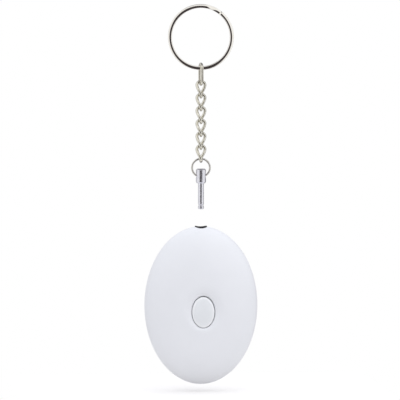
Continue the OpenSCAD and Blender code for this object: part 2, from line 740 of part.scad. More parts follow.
// Parts on the back of the board, in the sizes that they are sold in
coil_at = [-4.4, 3.2];
coil_d = 7;
coil_h = 6.4;
coil_flange = 1;
coil_core_d = 3.4;
coil_winding = 1.4;
module boost_coil_core() {
    r = coil_d / 2;
    core = coil_core_d / 2;
    upper = coil_h - coil_flange;
    color("dimgray")
    in_case() translate([coil_at.x, board_face, coil_at.y]) rotate([-90, 0, 0]) rotate_extrude()
        polygon([[0, 0], [r, 0], [r, coil_flange], [core, coil_flange], [core, upper], [r, upper],
            [r, coil_h], [0, coil_h]]);
}
module boost_coil_winding() {
    color("peru")
    in_case() translate([coil_at.x, board_face, coil_at.y]) rotate([-90, 0, 0]) rotate_extrude()
        translate([coil_core_d / 2 + touch, coil_flange + touch])
            square([coil_winding, coil_h - 2 * coil_flange - 2 * touch]);
}
pin_pitch = 1.27;
pin_w = 0.4;
chip_at = [-2, -5];
chip_w = 4.9;
chip_l = 3.9;
chip_h = 1.6;
chip_stand = 0.15;
chip_span = 6;
chip_pin_l = 1.4;
chip_pin_t = 0.25;
module driver_chip() {
    foot = (chip_span - chip_pin_l) / 2;
    color("black")
    in_case() translate([chip_at.x, board_face, chip_at.y]) {
        box([-chip_w / 2, chip_stand, -chip_l / 2], [chip_w / 2, chip_h, chip_l / 2]);
        for (s = [-1, 1]) for (k = [-1.5 : 1.5]) translate([k * pin_pitch, 0, s * foot])
            box([-pin_w / 2, 0, -chip_pin_l / 2], [pin_w / 2, chip_pin_t, chip_pin_l / 2]);
    }
}
transistor_x = 3.4;
transistor_d = 4.6;
transistor_h = 5.5;
transistor_flat = 1.3;
transistor_stand = 1;
module transistor() {
    color("black")
    in_case() translate([transistor_x, board_face, transistor_z]) {
        intersection() {
            rod_y(0, 0, transistor_stand, transistor_h, transistor_d);
            box([-transistor_d, 0, -transistor_flat], [transistor_d, transistor_h + 1, transistor_d]);
        }
        for (k = [-1 : 1]) box([k * pin_pitch - pin_w / 2, 0, -pin_w / 2],
            [k * pin_pitch + pin_w / 2, transistor_stand + 0.2, pin_w / 2]);
    }
}
capacitor_x = 4.8;
capacitor_d = 5;
capacitor_h = 6;
capacitor_groove = 0.25;
module capacitor() {
    r = capacitor_d / 2;
    g = capacitor_groove;
    color("navy")
    in_case() translate([capacitor_x, board_face, capacitor_z]) rotate([-90, 0, 0]) rotate_extrude()
        polygon([[0, 0], [r - 2 * g, 0], [r - 2 * g, g], [r, 2 * g], [r, 5 * g], [r - g, 6 * g], [r, 7 * g],
            [r, capacitor_h - g], [r - g, capacitor_h], [0, capacitor_h]]);
}
resistor_l = 3.2;
resistor_w = 1.6;
resistor_h = 0.6;
resistor_pitch = 4.4;
resistor_x = -0.6;
resistor_low = 13.2;
module chip_resistors() {
    color("black")
    in_case() for (k = [-1 : 1]) translate([resistor_x + k * resistor_pitch, board_y, resistor_low])
        box([-resistor_l / 2, -resistor_h, 0], [resistor_l / 2, -touch, resistor_w]);
}

// Three button cells in a row, their caps to the left
cell_rim = 1.2;
cell_edge = 0.25;
module button_cell(i) {
    x = -row_l / 2 + (i - 1) * (cell_t + touch);
    r = cell_d / 2;
    cap = r - cell_rim;
    e = cell_edge;
    color("lightgray")
    in_case() translate([x, 0, -cell_drop]) rotate([0, 90, 0]) rotate_extrude()
        polygon([[0, 0], [cap - e, 0], [cap, e], [cap, 2 * e], [r - e, 2 * e], [r, 3 * e],
            [r, cell_t - e], [r - e, cell_t], [0, cell_t]]);
}
module contact_plate(x) {
    translate([x, 0, -cell_drop])
        box([0, -contact_w / 2, -contact_h / 2], [contact_t, contact_w / 2, contact_h / 2]);
    contact_tab(x);
}
module contact_tab(x) {
    box([x, board_face, -cell_drop + contact_h / 2 - 0.6],
        [x + contact_t, board_face + 1.6, -board_bottom + 1.4]);
}
module positive_contact() {
    x = row_l / 2;
    color("silver")
    in_case() {
        contact_plate(x);
    }
}
module negative_contact() {
    x = -row_l / 2 - contact_t - contact_spring;
    tip = -row_l / 2 - touch;
    color("silver")
    in_case() {
        contact_plate(x);
        translate([0, contact_w / 4, 0]) rotate([90, 0, 0]) linear_extrude(contact_w / 2) polygon([
            [x + contact_t / 2, -cell_drop - contact_h / 2 + 1], [tip, -cell_drop - 0.4],
            [tip, -cell_drop + 0.4], [tip - contact_t, -cell_drop + 0.4],
            [tip - contact_t, -cell_drop - 0.2], [x + contact_t / 2, -cell_drop - contact_h / 2 + 1.6]]);
    }
}

key_ring();
ring_link();
for (i = [1 : link_count]) chain_link(i);
jump_ring();
pull_pin();
front_shell();
rear_shell();
case_screws();
push_button();
switch_plunger();
tactile_switch();
circuit_board();
board_screws();
pin_socket();
socket_leaf();
siren_gasket();
siren_disc();
siren_ceramic();
siren_lead_red();
siren_lead_black();
boost_coil_core();
boost_coil_winding();
driver_chip();
transistor();
capacitor();
chip_resistors();
for (i = [1 : cell_count]) button_cell(i);
positive_contact();
negative_contact();
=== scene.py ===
"""Personal safety alarm: the finishes and the visible meshes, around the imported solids.

Meshes are worked out in millimetres and brought to metres as each piece is made.
"""

import math

import bmesh
import bpy
from mathutils import Matrix, Vector


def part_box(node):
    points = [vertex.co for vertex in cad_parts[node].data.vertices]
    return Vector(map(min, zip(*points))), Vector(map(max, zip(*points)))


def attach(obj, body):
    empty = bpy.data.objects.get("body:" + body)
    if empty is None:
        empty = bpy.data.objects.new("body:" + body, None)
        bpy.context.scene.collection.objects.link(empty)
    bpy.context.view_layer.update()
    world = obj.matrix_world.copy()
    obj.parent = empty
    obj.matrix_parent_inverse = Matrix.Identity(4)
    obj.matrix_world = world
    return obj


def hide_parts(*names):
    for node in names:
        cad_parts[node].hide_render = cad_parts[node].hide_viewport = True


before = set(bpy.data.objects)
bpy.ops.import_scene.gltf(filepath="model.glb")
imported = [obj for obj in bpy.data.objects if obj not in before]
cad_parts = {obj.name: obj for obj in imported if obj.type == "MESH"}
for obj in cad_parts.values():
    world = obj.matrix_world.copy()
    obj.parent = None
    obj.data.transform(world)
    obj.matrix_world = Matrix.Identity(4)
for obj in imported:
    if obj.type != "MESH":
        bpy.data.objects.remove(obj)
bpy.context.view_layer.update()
scene = bpy.context.scene
scene.view_settings.view_transform = "Standard"
MM = 0.001

# Camera
# A long lens, a little left of the button's axis and a little above it, so that the bulging front
# carries the button right of the case's middle and the mouth shows as a dark smile.
VIEW_AZIMUTH = math.radians(-5.7)
VIEW_ELEVATION = math.radians(3.0)
VIEW_HEIGHT = 151.6
VIEW_CENTRE = Vector((-0.35, 0, -61.7))
LENS = 400
SENSOR = 36

towards_camera = Vector((
    math.sin(VIEW_AZIMUTH) * math.cos(VIEW_ELEVATION),
    -math.cos(VIEW_AZIMUTH) * math.cos(VIEW_ELEVATION),
    math.sin(VIEW_ELEVATION),
))
camera_data = bpy.data.cameras.new("camera")
camera_data.lens = LENS
camera_data.sensor_width = SENSOR
camera_data.clip_start = 0.01
camera = bpy.data.objects.new("camera", camera_data)
camera.location = (VIEW_CENTRE + towards_camera * VIEW_HEIGHT * LENS / SENSOR) * MM
camera.rotation_euler = (-towards_camera).to_track_quat("-Z", "Y").to_euler()
scene.collection.objects.link(camera)
scene.camera = camera


# Studio
# A small white floor just below the hanging case, a wide soft light overhead and a white room, cooler
# above than below. Bright metal mirrors a dark patch on the camera's side, and grey behind and overhead.
FLOOR_DROP = 2.7
FLOOR_SIZE = 140
FLOOR_WHITE = "#DCDAD8"
FLOOR_GLOW = 0.28
ROOM_WHITE = "#FFFFFF"
ROOM_HIGH = "#F4F6FC"
ROOM_LOW = "#B8B5B3"
ROOM_DARK = "#413B3D"
ROOM_GREY = "#78767C"
DARK_HALF_W = 0.51
DARK_HALF_H = 0.78
DARK_DROP = 0.22
DARK_LEFT = 0.04
DARK_TILT = math.radians(-18)
DARK_SOFT = 0.15
GREY_LEFT = 0.4
GREY_SIDE = (-0.5, 0.3)
GREY_BACK = (0.05, 0.5)
GREY_TOP = (0.8, 0.92)
FILL_RAMP = (-0.5, 0.2)
SUN_TURN = math.radians(45)
SUN_HEIGHT = math.radians(66)
SUN_SPREAD = math.radians(110)
SUN_STRENGTH = 0.7


def linear(hex_code):
    """An sRGB hex colour as linear red, green, blue and alpha."""
    channels = [int(hex_code[i:i + 2], 16) / 255 for i in (1, 3, 5)]
    return [c / 12.92 if c <= 0.04045 else ((c + 0.055) / 1.055) ** 2.4 for c in channels] + [1]


def add_node(tree, kind, inputs=None, **settings):
    """A new node with its settings. An input is a value, or another node's output to link to."""
    node = tree.nodes.new("ShaderNode" + kind)
    for name, value in settings.items():
        setattr(node, name, value)
    for name, value in (inputs or {}).items():
        if isinstance(value, bpy.types.NodeSocket):
            tree.links.new(value, node.inputs[name])
        else:
            node.inputs[name].default_value = value
    return node


def seen_directly(tree):
    """1 for a ray that comes from the camera, a mirror or a clear piece, and 0 for stray light."""
    path = add_node(tree, "LightPath")
    mirrored = add_node(tree, "Math", {0: path.outputs["Is Camera Ray"], 1: path.outputs["Is Glossy Ray"]},
                        operation="MAXIMUM")
    seen = add_node(tree, "Math", {0: mirrored.outputs[0], 1: path.outputs["Is Transmission Ray"]},
                    operation="MAXIMUM")
    return path, seen.outputs[0]


world = bpy.data.worlds.new("white_room")
world.use_nodes = True
scene.world = world
tree = world.node_tree
path, seen = seen_directly(tree)
direction = add_node(tree, "TexCoord").outputs["Generated"]
axes = add_node(tree, "SeparateXYZ", {0: direction})
depth = axes.outputs["Y"]
height = axes.outputs["Z"]
lift = add_node(tree, "MapRange", {"Value": height, "From Min": FILL_RAMP[0], "From Max": FILL_RAMP[1]})
fill = add_node(tree, "MixRGB", {"Fac": lift.outputs[0], "Color1": linear(ROOM_LOW),
                                 "Color2": linear(ROOM_HIGH)})
around = add_node(tree, "Mapping", {"Vector": direction, "Location": (-DARK_LEFT, 0, -DARK_DROP),
                                    "Rotation": (0, DARK_TILT, 0), "Scale": (DARK_HALF_W, 0, DARK_HALF_H)},
                  vector_type="TEXTURE")
off_centre = add_node(tree, "VectorMath", {0: around.outputs[0]}, operation="LENGTH").outputs["Value"]
dark = add_node(tree, "MapRange", {"Value": off_centre, "From Min": 1 + DARK_SOFT, "From Max": 1 - DARK_SOFT},
                interpolation_type="SMOOTHSTEP")
ahead = add_node(tree, "Math", {0: depth, 1: 0}, operation="LESS_THAN")
front = add_node(tree, "Math", {0: dark.outputs[0], 1: ahead.outputs[0]}, operation="MULTIPLY")
back = add_node(tree, "MapRange", {"Value": depth, "From Min": GREY_BACK[0], "From Max": GREY_BACK[1]},
                interpolation_type="SMOOTHSTEP")
zenith = add_node(tree, "MapRange", {"Value": height, "From Min": GREY_TOP[0], "From Max": GREY_TOP[1]},
                  interpolation_type="SMOOTHSTEP")
side = add_node(tree, "MapRange", {"Value": axes.outputs["X"], "From Min": GREY_SIDE[0],
                                   "From Max": GREY_SIDE[1], "To Min": GREY_LEFT})
behind = add_node(tree, "Math", {0: back.outputs[0], 1: side.outputs[0]}, operation="MULTIPLY")
dim = add_node(tree, "Math", {0: behind.outputs[0], 1: zenith.outputs[0]}, operation="MAXIMUM")
greyed = add_node(tree, "MixRGB", {"Fac": dim.outputs[0], "Color1": linear(ROOM_WHITE),
                                   "Color2": linear(ROOM_GREY)})
shaded = add_node(tree, "MixRGB", {"Fac": front.outputs[0], "Color1": greyed.outputs[0],
                                   "Color2": linear(ROOM_DARK)})
direct = add_node(tree, "MixRGB", {"Fac": path.outputs["Is Glossy Ray"], "Color1": linear(ROOM_WHITE),
                                   "Color2": shaded.outputs[0]})
room = add_node(tree, "MixRGB", {"Fac": seen, "Color1": fill.outputs[0], "Color2": direct.outputs[0]})
tree.links.new(room.outputs[0], tree.nodes["Background"].inputs["Color"])

case_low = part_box("front_shell")[0].z / MM
floor_bm = bmesh.new()
bmesh.ops.create_grid(floor_bm, x_segments=1, y_segments=1, size=FLOOR_SIZE * MM / 2)
bmesh.ops.translate(floor_bm, vec=(0, 0, (case_low - FLOOR_DROP) * MM), verts=floor_bm.verts)
floor_mesh = bpy.data.meshes.new("floor")
floor_bm.to_mesh(floor_mesh)
floor_bm.free()
floor = bpy.data.objects.new("floor", floor_mesh)
scene.collection.objects.link(floor)

floor_paint = bpy.data.materials.new("white_paper")
floor_paint.use_nodes = True
tree = floor_paint.node_tree
path, seen = seen_directly(tree)
paper = tree.nodes["Principled BSDF"]
paper.inputs["Base Color"].default_value = linear(FLOOR_WHITE)
paper.inputs["Roughness"].default_value = 0.9
paper.inputs["Specular IOR Level"].default_value = 0
paper.inputs["Emission Color"].default_value = linear(ROOM_WHITE)
glow = add_node(tree, "Math", {0: seen, 1: FLOOR_GLOW}, operation="MULTIPLY")
tree.links.new(glow.outputs[0], paper.inputs["Emission Strength"])
floor_mesh.materials.append(floor_paint)

sun_data = bpy.data.lights.new("soft_sun", "SUN")
sun_data.energy = SUN_STRENGTH
sun_data.angle = SUN_SPREAD
sun = bpy.data.objects.new("soft_sun", sun_data)
towards_sun = Vector((
    math.sin(SUN_TURN) * math.cos(SUN_HEIGHT),
    -math.cos(SUN_TURN) * math.cos(SUN_HEIGHT),
    math.sin(SUN_HEIGHT),
))
sun.rotation_euler = (-towards_sun).to_track_quat("-Z", "Y").to_euler()
sun.visible_glossy = False
scene.collection.objects.link(sun)


# Split key ring
# Flat spring-steel wire wound twice, nickel plated and tumbled bright, thinned towards its outer edge.
# The front end stops at the upper right, where the wire steps back to the rear turn.
RING_WIRE_W = 1.4
RING_WIRE_T = 0.7
RING_CROWN_W = 1.1
RING_CROWN = 0.13
RING_CROWN_STOPS = 5
RING_LIP = 0.14
RING_EDGE = 0.08
RING_END = math.radians(52)
RING_TAPER = math.radians(2.5)
RING_TIP_T = 0.3
RING_STEP = math.radians(22)
RING_STEP_END = math.radians(57.5)
RING_STEP_STOPS = 12
RING_TURN_STOPS = 130
RING_TAPER_STOPS = 6
NOISE_SPAN = (0.3, 0.7)


def round_to(value):
    """A smooth step from 0 to 1."""
    return value * value * (3 - 2 * value)


def make_piece(name, bm, material, body, nodes, sharp=32, even=False):
    """Brings a mesh to metres, makes it a piece that rides on a body, and hides the CAD nodes it is drawn in
    place of.
    """
    bmesh.ops.scale(bm, vec=(MM, MM, MM), verts=bm.verts)
    bmesh.ops.recalc_face_normals(bm, faces=bm.faces)
    # The recalculation can take a thin ring's inside for its outside, which a negative volume shows.
    if bm.calc_volume(signed=True) < 0:
        bmesh.ops.reverse_faces(bm, faces=bm.faces)
    mesh = bpy.data.meshes.new(name)
    bm.to_mesh(mesh)
    bm.free()
    mesh.materials.append(material)
    mesh.shade_smooth()
    mesh.set_sharp_from_angle(angle=math.radians(sharp))
    piece = bpy.data.objects.new(name, mesh)
    scene.collection.objects.link(piece)
    if even:
        piece.modifiers.new("even_shading", "WEIGHTED_NORMAL").keep_sharp = True
    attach(piece, body)
    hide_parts(*nodes)


def mottled(name, light, dark, drift, rough, grain=0, relief=0, **sockets):
    """A material whose colour and gloss drift over a length in millimetres, with a fine grained relief."""
    material = bpy.data.materials.new(name)
    material.use_nodes = True
    tree = material.node_tree
    shader = tree.nodes["Principled BSDF"]
    for socket, value in sockets.items():
        shader.inputs[socket.replace("_", " ")].default_value = value
    place = add_node(tree, "TexCoord").outputs["Object"]
    cloud = add_node(tree, "TexNoise", {"Vector": place, "Scale": 1 / (drift * MM), "Detail": 3}).outputs[0]
    # Noise keeps near its middle, so that span is stretched to the whole range.
    low, high = NOISE_SPAN
    share = add_node(tree, "MapRange", {"Value": cloud, "From Min": low, "From Max": high}).outputs[0]
    colour = add_node(tree, "MixRGB", {"Fac": share, "Color1": linear(dark), "Color2": linear(light)})
    gloss = add_node(tree, "MapRange", {"Value": share, "To Min": rough[0], "To Max": rough[1]})
    tree.links.new(colour.outputs[0], shader.inputs["Base Color"])
    tree.links.new(gloss.outputs[0], shader.inputs["Roughness"])
    if relief:
        grains = add_node(tree, "TexNoise", {"Vector": place, "Scale": 1 / (grain * MM), "Detail": 2})
        bump = add_node(tree, "Bump", {"Height": grains.outputs[0], "Strength": 1, "Distance": relief * MM})
        tree.links.new(bump.outputs[0], shader.inputs["Normal"])
    return material


# Tumbled nickel plate: a clean mirror with slow, faint clouds in its tint and gloss.
ring_nickel = mottled("nickel_plated_spring_steel", "#F7F4EE", "#EEEAE2", 2.5, (0.06, 0.12), Metallic=1)

ring_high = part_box("key_ring")[1] / MM
ring_radius = ring_high.x - RING_WIRE_W / 2
ring_shift = ring_high.y - RING_WIRE_T / 2
half_w = RING_WIRE_W / 2
half_t = RING_WIRE_T / 2
shares = [stop / RING_CROWN_STOPS for stop in range(RING_CROWN_STOPS + 1)]
crown = [(share * RING_CROWN_W - half_w, half_t - RING_CROWN * (2 * share - 1) ** 2) for share in shares]
bm = bmesh.new()
corners = [bm.verts.new((x, -y, 0)) for x, y in crown] + [bm.verts.new((x, y, 0)) for x, y in crown[::-1]]
lip = [bm.verts.new((half_w, side * RING_LIP / 2, 0)) for side in (-1, 1)]
outline = corners[:len(crown)] + lip + corners[len(crown):]
for pair in zip(outline, outline[1:] + outline[:1]):
    bm.edges.new(pair)
bmesh.ops.bevel(bm, geom=lip + [outline[0], outline[-1]], affect="VERTICES", offset=RING_EDGE, segments=3,
                profile=0.5, material=-1)
bmesh.ops.translate(bm, vec=(ring_radius, -ring_shift, 0), verts=bm.verts)
bmesh.ops.rotate(bm, cent=(0, 0, 0), matrix=Matrix.Rotation(-RING_END, 3, "Y"), verts=bm.verts)
front_turn = math.tau - RING_STEP - RING_STEP_END + RING_END
stops = [(RING_TAPER / RING_TAPER_STOPS, 1, 0)] * RING_TAPER_STOPS
stops.append((front_turn - RING_TAPER, RING_TURN_STOPS, 0))
for stop in range(RING_STEP_STOPS):
    rise = round_to((stop + 1) / RING_STEP_STOPS) - round_to(stop / RING_STEP_STOPS)
    stops.append((RING_STEP / RING_STEP_STOPS, 1, 2 * ring_shift * rise))
stops.append((math.tau - RING_STEP, RING_TURN_STOPS, 0))
section = bm.verts[:] + bm.edges[:]
rings = [bm.verts[:]]
for angle, steps, rise in stops:
    spun = bmesh.ops.spin(bm, geom=section, cent=(0, 0, 0), axis=(0, 1, 0), dvec=(0, rise, 0), angle=angle,
                          steps=steps, use_merge=False, use_normal_flip=False, use_duplicate=False)
    section = spun["geom_last"]
    rings.append([part for part in section if isinstance(part, bmesh.types.BMVert)])
for stop, ring in enumerate(rings[:RING_TAPER_STOPS]):
    thinned = 1 - (1 - RING_TIP_T / RING_WIRE_T) * (1 - stop / RING_TAPER_STOPS)
    inner_face = Matrix.Translation((0, ring_shift - half_t, 0))
    bmesh.ops.scale(bm, vec=(1, thinned, 1), space=inner_face, verts=ring)
bmesh.ops.holes_fill(bm, edges=[edge for edge in bm.edges if edge.is_boundary], sides=0)
make_piece("key_ring_wire", bm, ring_nickel, "key_ring", ["key_ring"])


# Chain
# Round steel wire, bent to links and nickel plated to a warm grey. The plain link on the key ring is
# flat, and the six below it are each twisted a quarter turn from the top bow to the bottom bow.
WIRE_R = 0.55
WIRE_SIDES = 16
BOW_STEPS = 20
LEG_STEPS = 10
LINK_TWIST = math.radians(90)
LINK_TURN = math.radians(8)
LINK_COUNT = 6

# Barrel-plated wire: bright and a little yellow, with small duller patches from link to link.
chain_nickel = mottled("nickel_plated_wire", "#E6E3D8", "#CECABD", 1.2, (0.05, 0.1), Metallic=1)


def loop_edges(bm, ring):
    """The edges around a closed ring of corners."""
    return [bm.edges.get(pair) for pair in zip(ring, ring[1:] + ring[:1])]


def extend(bm, ring):
    """Extrudes a closed ring of corners, and gives the new ring in the same order."""
    made = bmesh.ops.extrude_edge_only(bm, edges=loop_edges(bm, ring))["geom"]
    new = {part for part in made if isinstance(part, bmesh.types.BMVert)}
    return [next(edge.other_vert(corner) for edge in corner.link_edges if edge.other_vert(corner) in new)
            for corner in ring]


def bend_link(bm, bow_r, leg):
    """A flat link of round wire in the XZ plane, as rings of corners with their centres and directions."""
    step = math.pi / BOW_STEPS
    ring = bmesh.ops.create_circle(bm, cap_ends=False, segments=WIRE_SIDES, radius=WIRE_R)["verts"]
    bmesh.ops.translate(bm, vec=(bow_r, 0, leg), verts=ring)
    rings = []
    for side in (1, -1):
        bow_centre = Vector((0, 0, side * leg))
        turn = (Matrix.Translation(bow_centre) @ Matrix.Rotation(-step, 4, "Y")
                @ Matrix.Translation(-bow_centre))
        down = Matrix.Translation((0, 0, -side * 2 * leg / LEG_STEPS))
        for index, move in enumerate([turn] * BOW_STEPS + [down] * LEG_STEPS):
            angle = step * min(index, BOW_STEPS)
            reach = Vector((math.cos(angle), 0, math.sin(angle))) * bow_r * side
            sunk = max(index - BOW_STEPS, 0) * 2 * leg / LEG_STEPS * side
            along = Vector((-math.sin(angle), 0, math.cos(angle))) * side
            rings.append((ring, bow_centre + reach - Vector((0, 0, sunk)), along))
            if len(rings) == 2 * (BOW_STEPS + LEG_STEPS):
                break
            ring = extend(bm, ring)
            bmesh.ops.transform(bm, matrix=move, verts=ring)
    ends = [edge for edge in bm.edges if edge.is_boundary]
    bmesh.ops.bridge_loops(bm, edges=ends)
    return rings


def twist_link(bm, rings, reach):
    """Turns each ring of a flat link about Z by its height, and leans it along the twisted wire."""
    for ring, centre, along in rings:
        down = (reach - centre.z) / (2 * reach)
        rate = -LINK_TWIST * 6 * down * (1 - down) / (2 * reach)
        slope = Vector((along.x, centre.x * rate * along.z, along.z))
        lean = along.rotation_difference(slope).to_matrix().to_4x4()
        turn = Matrix.Rotation(LINK_TWIST * round_to(down), 4, "Z")
        place = turn @ Matrix.Translation(centre) @ lean @ Matrix.Translation(-centre)
        bmesh.ops.transform(bm, matrix=place, verts=ring)


link_low, link_high = (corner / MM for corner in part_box("ring_link"))
bow_r = link_high.y - WIRE_R
bm = bmesh.new()
bend_link(bm, bow_r, (link_high.z - link_low.z) / 2 - WIRE_R - bow_r)
sideways = Matrix.Rotation(math.pi / 2 + LINK_TURN, 3, "Z")
bmesh.ops.rotate(bm, cent=(0, 0, 0), matrix=sideways, verts=bm.verts)
bmesh.ops.translate(bm, vec=(0, 0, (link_low.z + link_high.z) / 2), verts=bm.verts)
make_piece("plain_link", bm, chain_nickel, "ring_link", ["ring_link"])

for number in range(1, LINK_COUNT + 1):
    link_low, link_high = (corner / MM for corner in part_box(f"chain_link_{number}"))
    bow_r = link_high.x - WIRE_R
    reach = (link_high.z - link_low.z) / 2 - WIRE_R
    bm = bmesh.new()
    twist_link(bm, bend_link(bm, bow_r, reach - bow_r), reach)
    bmesh.ops.translate(bm, vec=(0, 0, (link_low.z + link_high.z) / 2), verts=bm.verts)
    make_piece(f"twisted_link_{number}", bm, chain_nickel, f"chain_link_{number}",
               [f"chain_link_{number}"])


# Jump ring
# Thin nickel-plated wire, bent round through the last link and the pin's cross hole, and pressed
# shut with a butt joint near the top.
JUMP_WIRE_R = 0.375
JUMP_GAP = 0.1
JUMP_JOINT = math.radians(60)
JUMP_SIDES = 12
JUMP_STEPS = 72

# Finer plated wire, whiter and brighter than the chain, with a faint drift along its length.
jump_nickel = mottled("bright_nickel_wire", "#EFEDE8", "#DEDBD4", 0.8, (0.05, 0.1), Metallic=1)

jump_low, jump_high = (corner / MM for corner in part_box("jump_ring"))
jump_centre = Vector((0, 0, (jump_low.z + jump_high.z) / 2))
jump_r = (jump_high.z - jump_low.z) / 2 - JUMP_WIRE_R
jump_open = JUMP_GAP / jump_r
bm = bmesh.new()
bmesh.ops.create_circle(bm, cap_ends=False, segments=JUMP_SIDES, radius=JUMP_WIRE_R)
bmesh.ops.translate(bm, vec=(jump_r, 0, 0), verts=bm.verts)
to_joint = Matrix.Rotation(-JUMP_JOINT - jump_open, 3, "Y")
bmesh.ops.rotate(bm, cent=(0, 0, 0), matrix=to_joint, verts=bm.verts)
bmesh.ops.spin(bm, geom=bm.verts[:] + bm.edges[:], cent=(0, 0, 0), axis=(0, -1, 0), dvec=(0, 0, 0),
               angle=math.tau - jump_open, steps=JUMP_STEPS, use_merge=False, use_normal_flip=False,
               use_duplicate=False)
bmesh.ops.holes_fill(bm, edges=[edge for edge in bm.edges if edge.is_boundary], sides=0)
bmesh.ops.translate(bm, vec=jump_centre, verts=bm.verts)
make_piece("jump_ring_wire", bm, jump_nickel, "jump_ring", ["jump_ring"])


# Pull pin
# Turned from steel rod and chrome plated: a chamfered head with a countersunk cross hole, and a thin
# shaft with a detent groove just above its tip.
PIN_EDGE = 0.06
HEAD_R = 1.9
HEAD_LEN = 5.5
HEAD_CHAMFER = 0.45
SHAFT_R = 1.1
GROOVE_DEPTH = 0.2
GROOVE_W = 0.8
GROOVE_SLOPE = 0.24
TIP_LEN = 1.1
TIP_CHAMFER = 0.3
EYE_D = 1.6
EYE_FLARE = 0.25
EYE_DEPTH = 2.7
EYE_SIDES = 32
DRILL_OVER = 0.5
PIN_SIDES = 72

# Chrome over turned steel: cool and bluish, its mirror softened by the fine marks of the tool.
pin_chrome = mottled("chrome_plated_steel", "#E6E6EC", "#DADAE2", 1.0, (0.29, 0.35), Metallic=1)


def combine(bm, tool, way="DIFFERENCE"):
    """The shape with a tool's solid cut away from it, joined to it or kept in common."""
    solids = []
    for label, shape in (("shape", bm), ("tool", tool)):
        bmesh.ops.triangulate(shape, faces=shape.faces)
        bmesh.ops.recalc_face_normals(shape, faces=shape.faces)
        mesh = bpy.data.meshes.new(label)
        shape.to_mesh(mesh)
        shape.free()
        solids.append(bpy.data.objects.new(label, mesh))
        scene.collection.objects.link(solids[-1])
    change = solids[0].modifiers.new("change", "BOOLEAN")
    change.object = solids[1]
    change.operation = way
    change.solver = "EXACT"
    result = bmesh.new()
    result.from_object(solids[0], bpy.context.evaluated_depsgraph_get())
    for solid in solids:
        bpy.data.meshes.remove(solid.data)
    return result


def turn(bm, outline, sides, edge=0):
    """A solid turned about Z from an outline of radius and height, with its corners rounded."""
    before = set(bm.verts)
    corners = [bm.verts.new((radius, 0, z)) for radius, z in outline]
    edges = [bm.edges.new(pair) for pair in zip(corners, corners[1:])]
    if edge:
        bmesh.ops.bevel(bm, geom=corners[1:-1], affect="VERTICES", offset=edge, segments=3, profile=0.5,
                        material=-1)
        corners = [corner for corner in bm.verts if corner not in before]
        edges = {side for corner in corners for side in corner.link_edges}
    bmesh.ops.spin(bm, geom=list(corners) + list(edges), cent=(0, 0, 0), axis=(0, 0, 1), dvec=(0, 0, 0),
                   angle=math.tau, steps=sides, use_merge=True, use_normal_flip=False, use_duplicate=False)
    bmesh.ops.remove_doubles(bm, verts=[corner for corner in bm.verts if corner not in before], dist=1e-4)
    return [corner for corner in bm.verts if corner not in before]


pin_low, pin_high = (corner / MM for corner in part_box("pull_pin"))
head_low = pin_high.z - HEAD_LEN
groove_low = pin_low.z + TIP_LEN
bm = bmesh.new()
turn(bm, [
    (0, pin_high.z), (HEAD_R - HEAD_CHAMFER, pin_high.z), (HEAD_R, pin_high.z - HEAD_CHAMFER),
    (HEAD_R, head_low + HEAD_CHAMFER), (HEAD_R - HEAD_CHAMFER, head_low), (SHAFT_R, head_low),
    (SHAFT_R, groove_low + GROOVE_W), (SHAFT_R - GROOVE_DEPTH, groove_low + GROOVE_W - GROOVE_SLOPE),
    (SHAFT_R - GROOVE_DEPTH, groove_low + GROOVE_SLOPE), (SHAFT_R, groove_low),
    (SHAFT_R, pin_low.z + TIP_CHAMFER), (SHAFT_R - TIP_CHAMFER, pin_low.z), (0, pin_low.z),
], PIN_SIDES, PIN_EDGE)

flare_r = EYE_D / 2 + EYE_FLARE
drill_end = HEAD_R + DRILL_OVER
drill = bmesh.new()
turn(drill, [
    (0, -drill_end), (flare_r + DRILL_OVER, -drill_end), (flare_r, -HEAD_R), (EYE_D / 2, EYE_FLARE - HEAD_R),
    (EYE_D / 2, HEAD_R - EYE_FLARE), (flare_r, HEAD_R), (flare_r + DRILL_OVER, drill_end), (0, drill_end),
], EYE_SIDES)
bmesh.ops.rotate(drill, cent=(0, 0, 0), matrix=Matrix.Rotation(math.pi / 2, 3, "Y"), verts=drill.verts)
bmesh.ops.translate(drill, vec=(0, 0, pin_high.z - EYE_DEPTH), verts=drill.verts)
make_piece("turned_pin", combine(bm, drill), pin_chrome, "pull_pin", ["pull_pin"], even=True)


# Front shell
# Half of the case, moulded in white ABS with a satin surface. A shallow dish with a rounded lip surrounds
# the oval hole for the button. Bosses, posts and ribs inside take the screws, the board and the cells, and
# a groove along the rim takes the rear shell's tongue.
CASE_W = 43
CASE_D = 22
CASE_H = 60
WALL = 1.8
SEAM = 0.1
MOUTH_D = 4.7
BUTTON_W = 8.5
BUTTON_H = 11.7
BUTTON_GAP = 0.25
BUTTON_Z = -1.9
DISH_W = 14.8
DISH_H = 16.3
DISH_DEPTH = 0.95
DISH_DEEP = 20
DISH_BLEND = 0.12
GUIDE_Y = -8.12
GUIDE_WALL = 1.2
LIP_W = 1.5
LIP_DROP = 0.6
LIP_RINGS = 10
RIM_EDGE = 0.17
TONGUE_H = 1.2
TONGUE_T = 0.75
TONGUE_IN = 0.95
TONGUE_PLAY = 0.1
SCREW_PLACES = [(-13, 14), (13, 14), (0, -24.5)]
SCREW_HOLE_D = 2.0
SCREW_REACH = -4.6
BOSS_D = 4.6
POST_PLACES = [(-8, 9.5), (8, 9.5), (-8, -7), (8, -7)]
POST_D = 3.6
POST_END = -3.62
POST_HOLE_D = 1.72
POST_HOLE_END = -7.0
CELL_HOLE_D = 11.72
CELL_ROW_L = 16.38
CELL_Z = -15.5
RIB_X = 4.065
RIB_T = 1.2
RIB_H = 10
RIB_GAP = 4.8
MOUTH_REACH = 16
MOUTH_SIDES = 64
ROD_SIDES = 40
EGG_SIDES = 96
SHELL_COLUMNS = 144
OUTER_RINGS = 48
INNER_RINGS = 20

